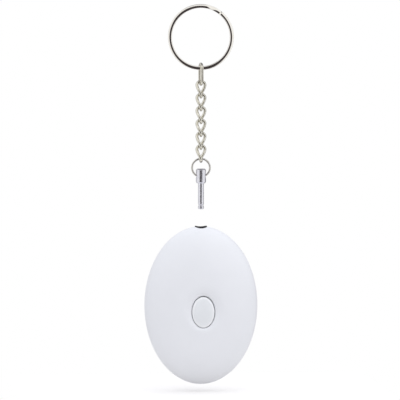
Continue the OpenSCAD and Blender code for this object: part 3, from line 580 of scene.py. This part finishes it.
# Moulded ABS from a spark-textured tool: cool white and satin, with a soft bloom at grazing angles. The
# texture is 0.3 mm across, coarser than the real one, so that it shows at all.
case_plastic = mottled("satin_white_abs", "#F1F2F5", "#EEEFF2", 14, (0.46, 0.52), 0.3, 0.0015, IOR=1.53,
                       Sheen_Weight=0.1, Sheen_Roughness=0.4)

case_z = case_low + CASE_H / 2
angles = [math.tau * column / SHELL_COLUMNS for column in range(SHELL_COLUMNS)]


def egg_depth(x, z, margin=0):
    """How far the case's oval form, drawn in by a margin, stands off the parting plane."""
    left = 1 - (x / (CASE_W / 2 - margin)) ** 2 - (z / (CASE_H / 2 - margin)) ** 2
    return (CASE_D / 2 - margin) * math.sqrt(max(left, 0))


def dish_span(size, overall):
    """Half the width of the large ball form whose low cap is the dish, from the dish's size at its rim."""
    edge = CASE_D / 2 * (1 - math.sqrt(1 - (size / overall) ** 2))
    return size / 2 / math.sqrt(1 - (1 - (DISH_DEPTH - edge) / DISH_DEEP) ** 2)


dish_x = dish_span(DISH_W, CASE_W)
dish_z = dish_span(DISH_H, CASE_H)


def front_y(x, z):
    """Depth of the front shell's face, with the dish blended softly into the oval form."""
    face = -egg_depth(x, z)
    left = 1 - (x / dish_x) ** 2 - ((z - BUTTON_Z) / dish_z) ** 2
    dish = -CASE_D / 2 + DISH_DEPTH - DISH_DEEP + DISH_DEEP * math.sqrt(max(left, 0))
    return (face + dish + math.sqrt((face - dish) ** 2 + DISH_BLEND ** 2)) / 2


def oval(width, height, z=0):
    """Places on an oval around the shell's columns, as x and z."""
    return [(width / 2 * math.cos(a), z + height / 2 * math.sin(a)) for a in angles]


def lay_ring(bm, ring, places, depth):
    """Extrudes a ring and lays it on x and z places, at a depth or on a surface."""
    ring = extend(bm, ring)
    for corner, (x, z) in zip(ring, places):
        corner.co = (x, depth(x, z) if callable(depth) else depth, z)
    return ring


def between(start, end, share):
    """Places part of the way from one oval to another."""
    return [(x0 + (x1 - x0) * share, z0 + (z1 - z0) * share) for (x0, z0), (x1, z1) in zip(start, end)]


hole = oval(BUTTON_W + 2 * BUTTON_GAP, BUTTON_H + 2 * BUTTON_GAP, BUTTON_Z)
guide = oval(BUTTON_W + 2 * BUTTON_GAP + 2 * GUIDE_WALL, BUTTON_H + 2 * BUTTON_GAP + 2 * GUIDE_WALL, BUTTON_Z)
rim = oval(CASE_W, CASE_H)
inner_rim = oval(CASE_W - 2 * WALL, CASE_H - 2 * WALL)

bm = bmesh.new()
first = bmesh.ops.create_circle(bm, cap_ends=False, segments=SHELL_COLUMNS, radius=1)["verts"]
for corner, (x, z) in zip(first, hole):
    corner.co = (x, front_y(x, z) + LIP_DROP, z)
ring = first
for index in range(1, LIP_RINGS + 1):
    angle = math.pi / 2 * index / LIP_RINGS
    out = 2 * BUTTON_GAP + 2 * LIP_W * (1 - math.cos(angle))
    lip = oval(BUTTON_W + out, BUTTON_H + out, BUTTON_Z)
    ring = lay_ring(bm, ring, lip, lambda x, z: front_y(x, z) + LIP_DROP * (1 - math.sin(angle)))
start_angle = math.asin(BUTTON_H / CASE_H)
for index in range(1, OUTER_RINGS + 1):
    angle = start_angle + (math.pi / 2 - start_angle) * index / OUTER_RINGS
    share = (math.sin(angle) - math.sin(start_angle)) / (1 - math.sin(start_angle))
    ring = lay_ring(bm, ring, between(lip, rim, share), front_y if index < OUTER_RINGS else -SEAM / 2)
rim_edges = loop_edges(bm, ring)
ring = lay_ring(bm, ring, inner_rim, -SEAM / 2)
for index in range(1, INNER_RINGS + 1):
    angle = math.pi / 2 - (math.pi / 2 - start_angle) * index / INNER_RINGS
    share = (1 - math.sin(angle)) / (1 - math.sin(start_angle))
    ring = lay_ring(bm, ring, between(inner_rim, guide, share), lambda x, z: -egg_depth(x, z, WALL))
ring = lay_ring(bm, ring, guide, GUIDE_Y)
ring = lay_ring(bm, ring, hole, GUIDE_Y)
bmesh.ops.bridge_loops(bm, edges=loop_edges(bm, ring) + loop_edges(bm, first))
bmesh.ops.bevel(bm, geom=rim_edges, affect="EDGES", offset=RIM_EDGE, segments=2, profile=0.5, material=-1)
bmesh.ops.translate(bm, vec=(0, 0, case_z), verts=bm.verts)


def turn_back(bm, outline, x, z, sides):
    """A solid turned about an axis that runs to the back of the case, at a place on it."""
    corners = turn(bm, outline, sides)
    bmesh.ops.rotate(bm, cent=(0, 0, 0), matrix=Matrix.Rotation(-math.pi / 2, 3, "X"), verts=corners)
    bmesh.ops.translate(bm, vec=(x, 0, case_z + z), verts=corners)


def add_rod(bm, x, z, near, far, diameter):
    """Adds a round rod that runs from front to back, at a place on the case."""
    turn_back(bm, [(0, near), (diameter / 2, near), (diameter / 2, far), (0, far)], x, z, ROD_SIDES)


def add_block(bm, low, high):
    """Adds a block between two corners, measured from the case's middle."""
    size = Vector(high) - Vector(low)
    corners = bmesh.ops.create_cube(bm, size=1)["verts"]
    bmesh.ops.scale(bm, vec=size, verts=corners)
    bmesh.ops.translate(bm, vec=Vector(low) + size / 2 + Vector((0, 0, case_z)), verts=corners)


def add_ribs(bm, near, far):
    """Adds the two ribs that keep the row of cells in place."""
    for x in (-RIB_X, RIB_X):
        add_block(bm, (x - RIB_T / 2, near, CELL_Z - RIB_H / 2), (x + RIB_T / 2, far, CELL_Z + RIB_H / 2))


def within_wall(bm):
    """The part of a solid that lies inside the middle of the case's wall."""
    egg = bmesh.new()
    bmesh.ops.create_uvsphere(egg, u_segments=EGG_SIDES, v_segments=EGG_SIDES // 2, radius=1)
    bmesh.ops.scale(egg, vec=[(size - WALL) / 2 for size in (CASE_W, CASE_D, CASE_H)], verts=egg.verts)
    bmesh.ops.translate(egg, vec=(0, 0, case_z), verts=egg.verts)
    return combine(bm, egg, "INTERSECT")


def rim_band(near, far, outer, inner):
    """A band along the case's rim, between two margins in from it."""
    bm = bmesh.new()
    outside, inside = (oval(CASE_W - 2 * margin, CASE_H - 2 * margin) for margin in (outer, inner))
    first = bmesh.ops.create_circle(bm, cap_ends=False, segments=SHELL_COLUMNS, radius=1)["verts"]
    for corner, (x, z) in zip(first, outside):
        corner.co = (x, near, z)
    ring = lay_ring(bm, first, outside, far)
    ring = lay_ring(bm, ring, inside, far)
    ring = lay_ring(bm, ring, inside, near)
    bmesh.ops.bridge_loops(bm, edges=loop_edges(bm, ring) + loop_edges(bm, first))
    bmesh.ops.translate(bm, vec=(0, 0, case_z), verts=bm.verts)
    return bm


def shared_cutter():
    """The round mouth at the top and the bed of the cells, which both shells share."""
    cutter = bmesh.new()
    at_top = Matrix.Translation((0, 0, case_z + CASE_H / 2))
    across = Matrix.Translation((0, 0, case_z + CELL_Z)) @ Matrix.Rotation(math.pi / 2, 4, "Y")
    for diameter, length, place in ((MOUTH_D, MOUTH_REACH, at_top), (CELL_HOLE_D, CELL_ROW_L, across)):
        bmesh.ops.create_cone(cutter, cap_ends=True, segments=MOUTH_SIDES, radius1=diameter / 2,
                              radius2=diameter / 2, depth=length, matrix=place)
    return cutter


fittings = bmesh.new()
cutter = shared_cutter()
for x, z in SCREW_PLACES:
    add_rod(fittings, x, z, -CASE_D / 2, -SEAM / 2, BOSS_D)
    add_rod(cutter, x, z, SCREW_REACH, 1, SCREW_HOLE_D)
for x, z in POST_PLACES:
    add_rod(fittings, x, z, -CASE_D / 2, POST_END, POST_D)
for x, z in POST_PLACES[:2]:
    add_rod(cutter, x, z, POST_HOLE_END, 0, POST_HOLE_D)
add_ribs(fittings, -CASE_D / 2, -RIB_GAP / 2)
bm = combine(bm, within_wall(fittings), "UNION")
bm = combine(bm, rim_band(-TONGUE_H - TONGUE_PLAY, 1, TONGUE_IN - TONGUE_PLAY, WALL + TONGUE_T))
bm = combine(bm, cutter)
make_piece("front_cover", bm, case_plastic, "alarm_case", ["front_shell"])


# Push button
# An oval cap, moulded in glossier ABS than the case, with a low crown, a rounded rim and a little draft.
# It rests low in the play of its hole. A flange keeps it in and a stem reaches to the switch.
BUTTON_PLAY = Vector((-0.06, 0, -0.1))
BUTTON_DRAFT = 0.06
CROWN_RX = 16
CROWN_RZ = 28
BUTTON_TOP = -10.9
RIM_DROP = 0.3
RIM_OVER = 0.22
RIM_DEEP = 1.6
FLANGE_W = 1.05
FLANGE_FRONT = -8.1
FLANGE_BACK = -7.3
STEM_D = 4.2
STEM_END = -7.0
CROWN_RINGS = 24
# The colour of the painted highlight along the button's rim, and where across the face it fades in.
RIM_HIGHLIGHT_WHITE = "#F6F7F8"
RIM_HIGHLIGHT_FADE = (0.78, 0.96)

# ABS from a polished tool: the same white, with tighter lights and a painted highlight, a paler colour
# towards the rim of its face.
button_plastic = mottled("glossy_white_abs", "#F0F2F4", "#EDEFF1", 6, (0.2, 0.26), 0.3, 0.0006, IOR=1.53)
tree = button_plastic.node_tree
shader = tree.nodes["Principled BSDF"]
face_colour = shader.inputs["Base Color"].links[0].from_socket
place = add_node(tree, "TexCoord").outputs["Object"]
button_middle = BUTTON_PLAY + Vector((0, 0, case_z + BUTTON_Z))
oval_place = add_node(tree, "Mapping", {
    "Vector": place, "Location": (-2 * button_middle.x / BUTTON_W, 0, -2 * button_middle.z / BUTTON_H),
    "Scale": (2 / (BUTTON_W * MM), 0, 2 / (BUTTON_H * MM))})
out = add_node(tree, "VectorMath", {0: oval_place.outputs[0]}, operation="LENGTH").outputs["Value"]
# Painted highlight: the face's colour turns paler towards its rim, where the rounded edge would catch the
# light.
rim_highlight_mask = add_node(tree, "MapRange", {"Value": out, "From Min": RIM_HIGHLIGHT_FADE[0], "From Max": RIM_HIGHLIGHT_FADE[1]},
                    interpolation_type="SMOOTHSTEP")
rim_highlighted = add_node(tree, "MixRGB", {"Fac": rim_highlight_mask.outputs[0], "Color1": face_colour,
                                   "Color2": linear(RIM_HIGHLIGHT_WHITE)})
tree.links.new(rim_highlighted.outputs[0], shader.inputs["Base Color"])

rim_k = 1 + 2 * RIM_OVER / BUTTON_W
side_y = BUTTON_TOP + (BUTTON_W / 2) ** 2 / (2 * CROWN_RX) + RIM_DROP
rim_y = side_y + RIM_DEEP * math.sqrt(1 - 1 / rim_k ** 2)


def button_y(x, z):
    """Depth of the button's face: a low crown, rounded off at the rim."""
    up = z - BUTTON_Z
    crown = BUTTON_TOP + x * x / (2 * CROWN_RX) + up * up / (2 * CROWN_RZ)
    left = 1 - (x / (rim_k * BUTTON_W / 2)) ** 2 - (up / (rim_k * BUTTON_H / 2)) ** 2
    return max(crown, rim_y - RIM_DEEP * math.sqrt(max(left, 0)))


bm = bmesh.new()
flange = oval(BUTTON_W + 2 * FLANGE_W, BUTTON_H + 2 * FLANGE_W, BUTTON_Z)
side = oval(BUTTON_W, BUTTON_H, BUTTON_Z)
ring = bmesh.ops.create_circle(bm, cap_ends=True, segments=SHELL_COLUMNS, radius=1)["verts"]
for corner, (x, z) in zip(ring, flange):
    corner.co = (x, FLANGE_BACK, z)
ring = lay_ring(bm, ring, flange, FLANGE_FRONT)
ring = lay_ring(bm, ring, side, FLANGE_FRONT)
for index in range(CROWN_RINGS):
    share = (1 - index / CROWN_RINGS) ** 0.5
    face = oval((BUTTON_W - 2 * BUTTON_DRAFT) * share, (BUTTON_H - 2 * BUTTON_DRAFT) * share, BUTTON_Z)
    ring = lay_ring(bm, ring, face, button_y)
bm.faces.new(ring)
bmesh.ops.translate(bm, vec=BUTTON_PLAY + Vector((0, 0, case_z)), verts=bm.verts)
add_rod(bm, 0, BUTTON_Z, (FLANGE_FRONT + FLANGE_BACK) / 2, STEM_END, STEM_D)
make_piece("oval_button", bm, button_plastic, "push_button", ["push_button"], sharp=50)


# Rear shell
# The other half of the case, in the same satin ABS. Its back is flattened with a soft edge, and has a
# rose of sound holes over the siren's seat and three deep wells for the screws. Inside are the cells'
# cradle and a tongue that fits the front shell's groove.
BACK_CUT = 1.4
BACK_EDGE = 1.0
FLAT_RING = 0.85
SIREN_Z = 1.5
SOUND_HOLE_D = 1.8
SOUND_HOLE_PITCH = 3.3
SOUND_HOLE_FLARE = 0.2
SOUND_HOLE_CIRCLES = 3
SOUND_HOLE_SIDES = 24
SEAT_D = 25.3
SEAT_WALL = 1.2
SEAT_FRONT = 5.03
SEAT_STEP = 5.9
CHAMBER_D = 22.5
CHAMBER_CUT = 0.02
SEAT_SIDES = 96
CRADLE_X = (-10.17, 8.47)
CRADLE_Y = -3.2
CRADLE_H = 7.2
WELL_D = 4.0
WELL_FLOOR = 2.0

back_y = CASE_D / 2 - BACK_CUT
inner_y = back_y - WALL
flat_share = math.sqrt(1 - (back_y / (CASE_D / 2)) ** 2)
inner_share = math.sqrt(1 - (inner_y / (CASE_D / 2 - WALL)) ** 2)
bm = bmesh.new()
ring = bmesh.ops.create_circle(bm, cap_ends=True, segments=SHELL_COLUMNS, radius=1)["verts"]
for corner, (x, z) in zip(ring, oval(CASE_W * flat_share * FLAT_RING, CASE_H * flat_share * FLAT_RING)):
    corner.co = (x, back_y, z)
ring = lay_ring(bm, ring, oval(CASE_W * flat_share, CASE_H * flat_share), back_y)
flat_edges = loop_edges(bm, ring)
for index in range(1, OUTER_RINGS + 1):
    angle = math.asin(flat_share) + (math.pi / 2 - math.asin(flat_share)) * index / OUTER_RINGS
    places = oval(CASE_W * math.sin(angle), CASE_H * math.sin(angle))
    ring = lay_ring(bm, ring, places, egg_depth if index < OUTER_RINGS else SEAM / 2)
rim_edges = loop_edges(bm, ring)
ring = lay_ring(bm, ring, inner_rim, SEAM / 2)
for index in range(1, INNER_RINGS + 1):
    angle = math.pi / 2 - (math.pi / 2 - math.asin(inner_share)) * index / INNER_RINGS
    places = oval((CASE_W - 2 * WALL) * math.sin(angle), (CASE_H - 2 * WALL) * math.sin(angle))
    ring = lay_ring(bm, ring, places, lambda x, z: egg_depth(x, z, WALL))
bm.faces.new(ring)
bmesh.ops.bevel(bm, geom=flat_edges, affect="EDGES", offset=BACK_EDGE, segments=4, profile=0.5, material=-1)
bmesh.ops.bevel(bm, geom=rim_edges, affect="EDGES", offset=RIM_EDGE, segments=2, profile=0.5, material=-1)
bmesh.ops.translate(bm, vec=(0, 0, case_z), verts=bm.verts)

wall_y = inner_y + WALL / 2
fittings = bmesh.new()
add_rod(fittings, 0, SIREN_Z, SEAT_FRONT, wall_y, SEAT_D + 2 * SEAT_WALL)
for x, z in SCREW_PLACES:
    add_rod(fittings, x, z, SEAM / 2, wall_y, BOSS_D)
bm = combine(bm, within_wall(fittings), "UNION")
cradle = bmesh.new()
add_ribs(cradle, RIB_GAP / 2, wall_y)
for x in CRADLE_X:
    add_block(cradle, (x, CRADLE_Y, CELL_Z - CRADLE_H / 2), (x + RIB_T, wall_y, CELL_Z + CRADLE_H / 2))
bm = combine(bm, within_wall(cradle), "UNION")
bm = combine(bm, rim_band(-TONGUE_H, 1, TONGUE_IN, TONGUE_IN + TONGUE_T), "UNION")
seat = bmesh.new()
seat_floor = inner_y + CHAMBER_CUT
turn_back(seat, [(0, 0), (SEAT_D / 2, 0), (SEAT_D / 2, SEAT_STEP), (CHAMBER_D / 2, SEAT_STEP),
                 (CHAMBER_D / 2, seat_floor), (0, seat_floor)], 0, SIREN_Z, SEAT_SIDES)
bm = combine(bm, seat)
cutter = shared_cutter()
hole_r = SOUND_HOLE_D / 2
hole_outline = [(0, inner_y - 1), (hole_r, inner_y - 1), (hole_r, back_y - SOUND_HOLE_FLARE),
                (hole_r + 2 * SOUND_HOLE_FLARE, back_y + SOUND_HOLE_FLARE), (0, back_y + SOUND_HOLE_FLARE)]
for circle in range(SOUND_HOLE_CIRCLES):
    count = max(6 * circle, 1)
    reach = circle * SOUND_HOLE_PITCH
    for stop in range(count):
        angle = math.tau * stop / count
        turn_back(cutter, hole_outline, reach * math.cos(angle), SIREN_Z + reach * math.sin(angle),
                  SOUND_HOLE_SIDES)
well_outline = [(0, -1), (SCREW_HOLE_D / 2, -1), (SCREW_HOLE_D / 2, WELL_FLOOR), (WELL_D / 2, WELL_FLOOR),
                (WELL_D / 2, back_y + 1), (0, back_y + 1)]
for x, z in SCREW_PLACES:
    turn_back(cutter, well_outline, x, z, ROD_SIDES)
bm = combine(bm, cutter)
make_piece("rear_cover", bm, case_plastic, "alarm_case", ["rear_shell"])


# Case screws
# Three zinc-plated steel screws with domed heads and cross recesses, pressed from wire and rolled. They
# sit down in the wells of the back and hold the shells together.
SCREW_HEAD_D = 3.6
SCREW_HEAD_H = 1.4
SCREW_D = 1.9
SCREW_LEN = 6.2
SCREW_POINT = 1
SCREW_TOUCH = 0.02
SCREW_EDGE = 0.08
DOME_DROP = 0.7
DOME_FLAT = 0.15
DOME_SHARE = 0.75
CROSS_L = 2.1
CROSS_W = 0.5
CROSS_DEPTH = 0.8
SCREW_TURNS = (20, 65, 40)

# Bright zinc plate: light grey metal with a crystal bloom and a slightly rough, broken gloss.
screw_steel = mottled("zinc_plated_steel", "#C6C8CA", "#A9ABAE", 0.6, (0.22, 0.36), 0.15, 0.001, Metallic=1)

head = SCREW_HEAD_D / 2
screw_tip = WELL_FLOOR - SCREW_LEN
screw_seat = WELL_FLOOR + SCREW_TOUCH
screw_top = WELL_FLOOR + SCREW_HEAD_H
screws = bmesh.new()
for (x, z), angle in zip(SCREW_PLACES, SCREW_TURNS):
    screw = bmesh.new()
    turn(screw, [(0, screw_tip), (SCREW_D / 4, screw_tip), (SCREW_D / 2, screw_tip + SCREW_POINT),
                 (SCREW_D / 2, screw_seat), (head, screw_seat), (head, screw_top - DOME_DROP),
                 (head * DOME_SHARE, screw_top - DOME_FLAT), (0, screw_top)], ROD_SIDES, SCREW_EDGE)
    for side in (0, 90):
        slot = bmesh.new()
        turned = Matrix.Rotation(math.radians(angle + side), 3, "Z")
        bmesh.ops.create_cube(slot, size=1)
        bmesh.ops.scale(slot, vec=(CROSS_L, CROSS_W, 2 * CROSS_DEPTH), verts=slot.verts)
        bmesh.ops.rotate(slot, cent=(0, 0, 0), matrix=turned, verts=slot.verts)
        bmesh.ops.translate(slot, vec=(0, 0, screw_top), verts=slot.verts)
        screw = combine(screw, slot)
    bmesh.ops.rotate(screw, cent=(0, 0, 0), matrix=Matrix.Rotation(-math.pi / 2, 3, "X"), verts=screw.verts)
    bmesh.ops.translate(screw, vec=(x, 0, case_z + z), verts=screw.verts)
    joined = bpy.data.meshes.new("screw")
    screw.to_mesh(joined)
    screw.free()
    screws.from_mesh(joined)
    bpy.data.meshes.remove(joined)
make_piece("domed_screws", screws, screw_steel, "alarm_case", ["case_screws"], even=True)


# Pin socket and its leaf
# A black nylon block that holds the pin's shaft, with a collar that shows in the mouth, and a bent
# leaf of spring brass that feels the pin's groove.
def dress(material, *names):
    """Gives CAD nodes that keep their solids the finish of their real material."""
    for name in names:
        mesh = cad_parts[name].data
        mesh.materials.clear()
        mesh.materials.append(material)


# Moulded nylon: nearly black, with a fine matt skin that keeps it from mirroring.
black_nylon = mottled("moulded_black_nylon", "#1D1E21", "#151618", 0.8, (0.4, 0.55), 0.2, 0.003)
# Rolled brass: warm yellow with slow brown tarnish, and fine rolling marks in its gloss.
spring_brass = mottled("rolled_spring_brass", "#C8A55A", "#BD9A50", 5, (0.2, 0.34), 0.2, 0.001, Metallic=1)
dress(black_nylon, "pin_socket", "switch_plunger")
dress(spring_brass, "socket_leaf", "siren_disc")


# Circuit board
# Green glass-epoxy laminate with a glossy solder mask over its copper tracks, and two zinc-plated
# screws into the posts of the front shell.
TRACK_GREEN = "#3F9560"
TRACK_W = 0.3
TRACK_PITCH = 1.4
TRACK_RUN = 6

# Solder mask over etched copper: glossy green, paler along the raised tracks, with the weave's faint ripple.
board_laminate = mottled("solder_masked_laminate", "#2C7A4B", "#266D42", 4, (0.25, 0.4), 0.25, 0.004)
tree = board_laminate.node_tree
shader = tree.nodes["Principled BSDF"]
mask_colour = shader.inputs["Base Color"].links[0].from_socket
place = add_node(tree, "TexCoord").outputs["Object"]
upright = add_node(tree, "Mapping", {"Vector": place, "Rotation": (math.pi / 2, 0, 0)})
tracks = add_node(tree, "TexBrick", {
    "Vector": upright.outputs[0], "Scale": 0.1 / MM, "Mortar Size": TRACK_W / 20, "Mortar Smooth": 0.2,
    "Brick Width": TRACK_RUN / 10, "Row Height": TRACK_PITCH / 10,
}).outputs["Fac"]
tracked = add_node(tree, "MixRGB", {"Fac": tracks, "Color1": mask_colour, "Color2": linear(TRACK_GREEN)})
tree.links.new(tracked.outputs[0], shader.inputs["Base Color"])
dress(board_laminate, "circuit_board")
dress(screw_steel, "board_screws")


# Parts on the board
# A steel-cased push switch, a driver chip and transistor in black resin, chip resistors, a sleeved
# capacitor and a coil of enamelled copper wire on a ferrite core, all soldered down.
COIL_WIRE_D = 0.25
STRIPE_GREY = "#B9BFCC"
STRIPE_SHARE = 0.12

# Tinned steel: soft grey metal with a dull, wiped look.
switch_metal = mottled("tinned_switch_steel", "#B8B8B6", "#A6A6A4", 2, (0.25, 0.4), Metallic=1)
# Moulded resin filled with glass: charcoal, with a fine matt grain.
chip_resin = mottled("moulded_chip_resin", "#232426", "#191A1B", 0.4, (0.5, 0.65), 0.1, 0.003)
# Pressed and fired ferrite: dark grey, dry and slightly pitted.
ferrite = mottled("sintered_ferrite", "#3A3A3C", "#29292B", 0.3, (0.55, 0.75), 0.15, 0.006)

# Shrunk PVC film: dark blue with an even gloss, and a pale stripe printed along one side.
capacitor_sleeve = mottled("shrunk_pvc_sleeve", "#22386E", "#1A2C58", 2.0, (0.25, 0.4))
tree = capacitor_sleeve.node_tree
shader = tree.nodes["Principled BSDF"]
sleeve_colour = shader.inputs["Base Color"].links[0].from_socket
can_low, can_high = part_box("capacitor")
stripe_x = can_high.x - STRIPE_SHARE * (can_high.x - can_low.x)
across = add_node(tree, "SeparateXYZ", {0: add_node(tree, "TexCoord").outputs["Object"]}).outputs["X"]
stripe = add_node(tree, "Math", {0: across, 1: stripe_x}, operation="GREATER_THAN").outputs[0]
striped = add_node(tree, "MixRGB", {"Fac": stripe, "Color1": sleeve_colour, "Color2": linear(STRIPE_GREY)})
tree.links.new(striped.outputs[0], shader.inputs["Base Color"])

# Drawn copper in clear enamel: deep orange and glossy, with a light line along each turn of the wire.
copper = mottled("enamelled_copper_wire", "#B5622E", "#A05425", 1.5, (0.2, 0.32), Metallic=1)
tree = copper.node_tree
place = add_node(tree, "TexCoord").outputs["Object"]
# At a scale of 1, the waves of this pattern stand tau / 20 apart.
wave_scale = math.tau / 20 / (COIL_WIRE_D * MM)
turns = add_node(tree, "TexWave", {"Vector": place, "Scale": wave_scale, "Distortion": 0},
                 bands_direction="Y").outputs["Fac"]
wound = add_node(tree, "Bump", {"Height": turns, "Strength": 1, "Distance": COIL_WIRE_D / 4 * MM})
tree.links.new(wound.outputs[0], tree.nodes["Principled BSDF"].inputs["Normal"])

dress(switch_metal, "tactile_switch")
dress(chip_resin, "driver_chip", "transistor", "chip_resistors")
dress(capacitor_sleeve, "capacitor")
dress(ferrite, "boost_coil_core")
dress(copper, "boost_coil_winding")


# Siren
# A thin brass disc with a silvered ceramic layer, on a foam gasket behind the sound holes, and its
# two plastic-covered leads.

# Fired ceramic under silver paste: pale and chalky, with a faint metal tint that comes and goes.
ceramic = mottled("silvered_ceramic", "#E6E2D6", "#D9D4C6", 3, (0.4, 0.55), 0.2, 0.002)
# Closed-cell foam: dark grey and dead matt, with small pits.
gasket_foam = mottled("closed_cell_foam", "#3C3D40", "#2B2C2E", 0.5, (0.75, 0.95), 0.15, 0.02)
# Extruded PVC: an even, slightly waxy colour with soft lights along the lead.
lead_red = mottled("red_pvc_cover", "#B5231F", "#A61E1B", 3, (0.35, 0.5))
lead_black = mottled("black_pvc_cover", "#222324", "#1A1B1B", 3, (0.35, 0.5))
dress(ceramic, "siren_ceramic")
dress(gasket_foam, "siren_gasket")
dress(lead_red, "siren_lead_red")
dress(lead_black, "siren_lead_black")


# Button cells
# Three nickel-plated steel cells in a row between two nickel-plated spring contacts, in the cradle of
# the rear shell.

# Drawn and plated steel: bright grey, with slow clouds where the cells were handled.
cell_steel = mottled("nickel_plated_cell_steel", "#CDCDCB", "#BEBEBB", 4, (0.18, 0.3), Metallic=1)
# Stamped and plated spring strip: a shade warmer and duller than the cells.
contact_nickel = mottled("nickel_plated_contact", "#C9C7C0", "#BAB7AE", 2, (0.2, 0.34), Metallic=1)
dress(cell_steel, "button_cell_1", "button_cell_2", "button_cell_3")
dress(contact_nickel, "positive_contact", "negative_contact")
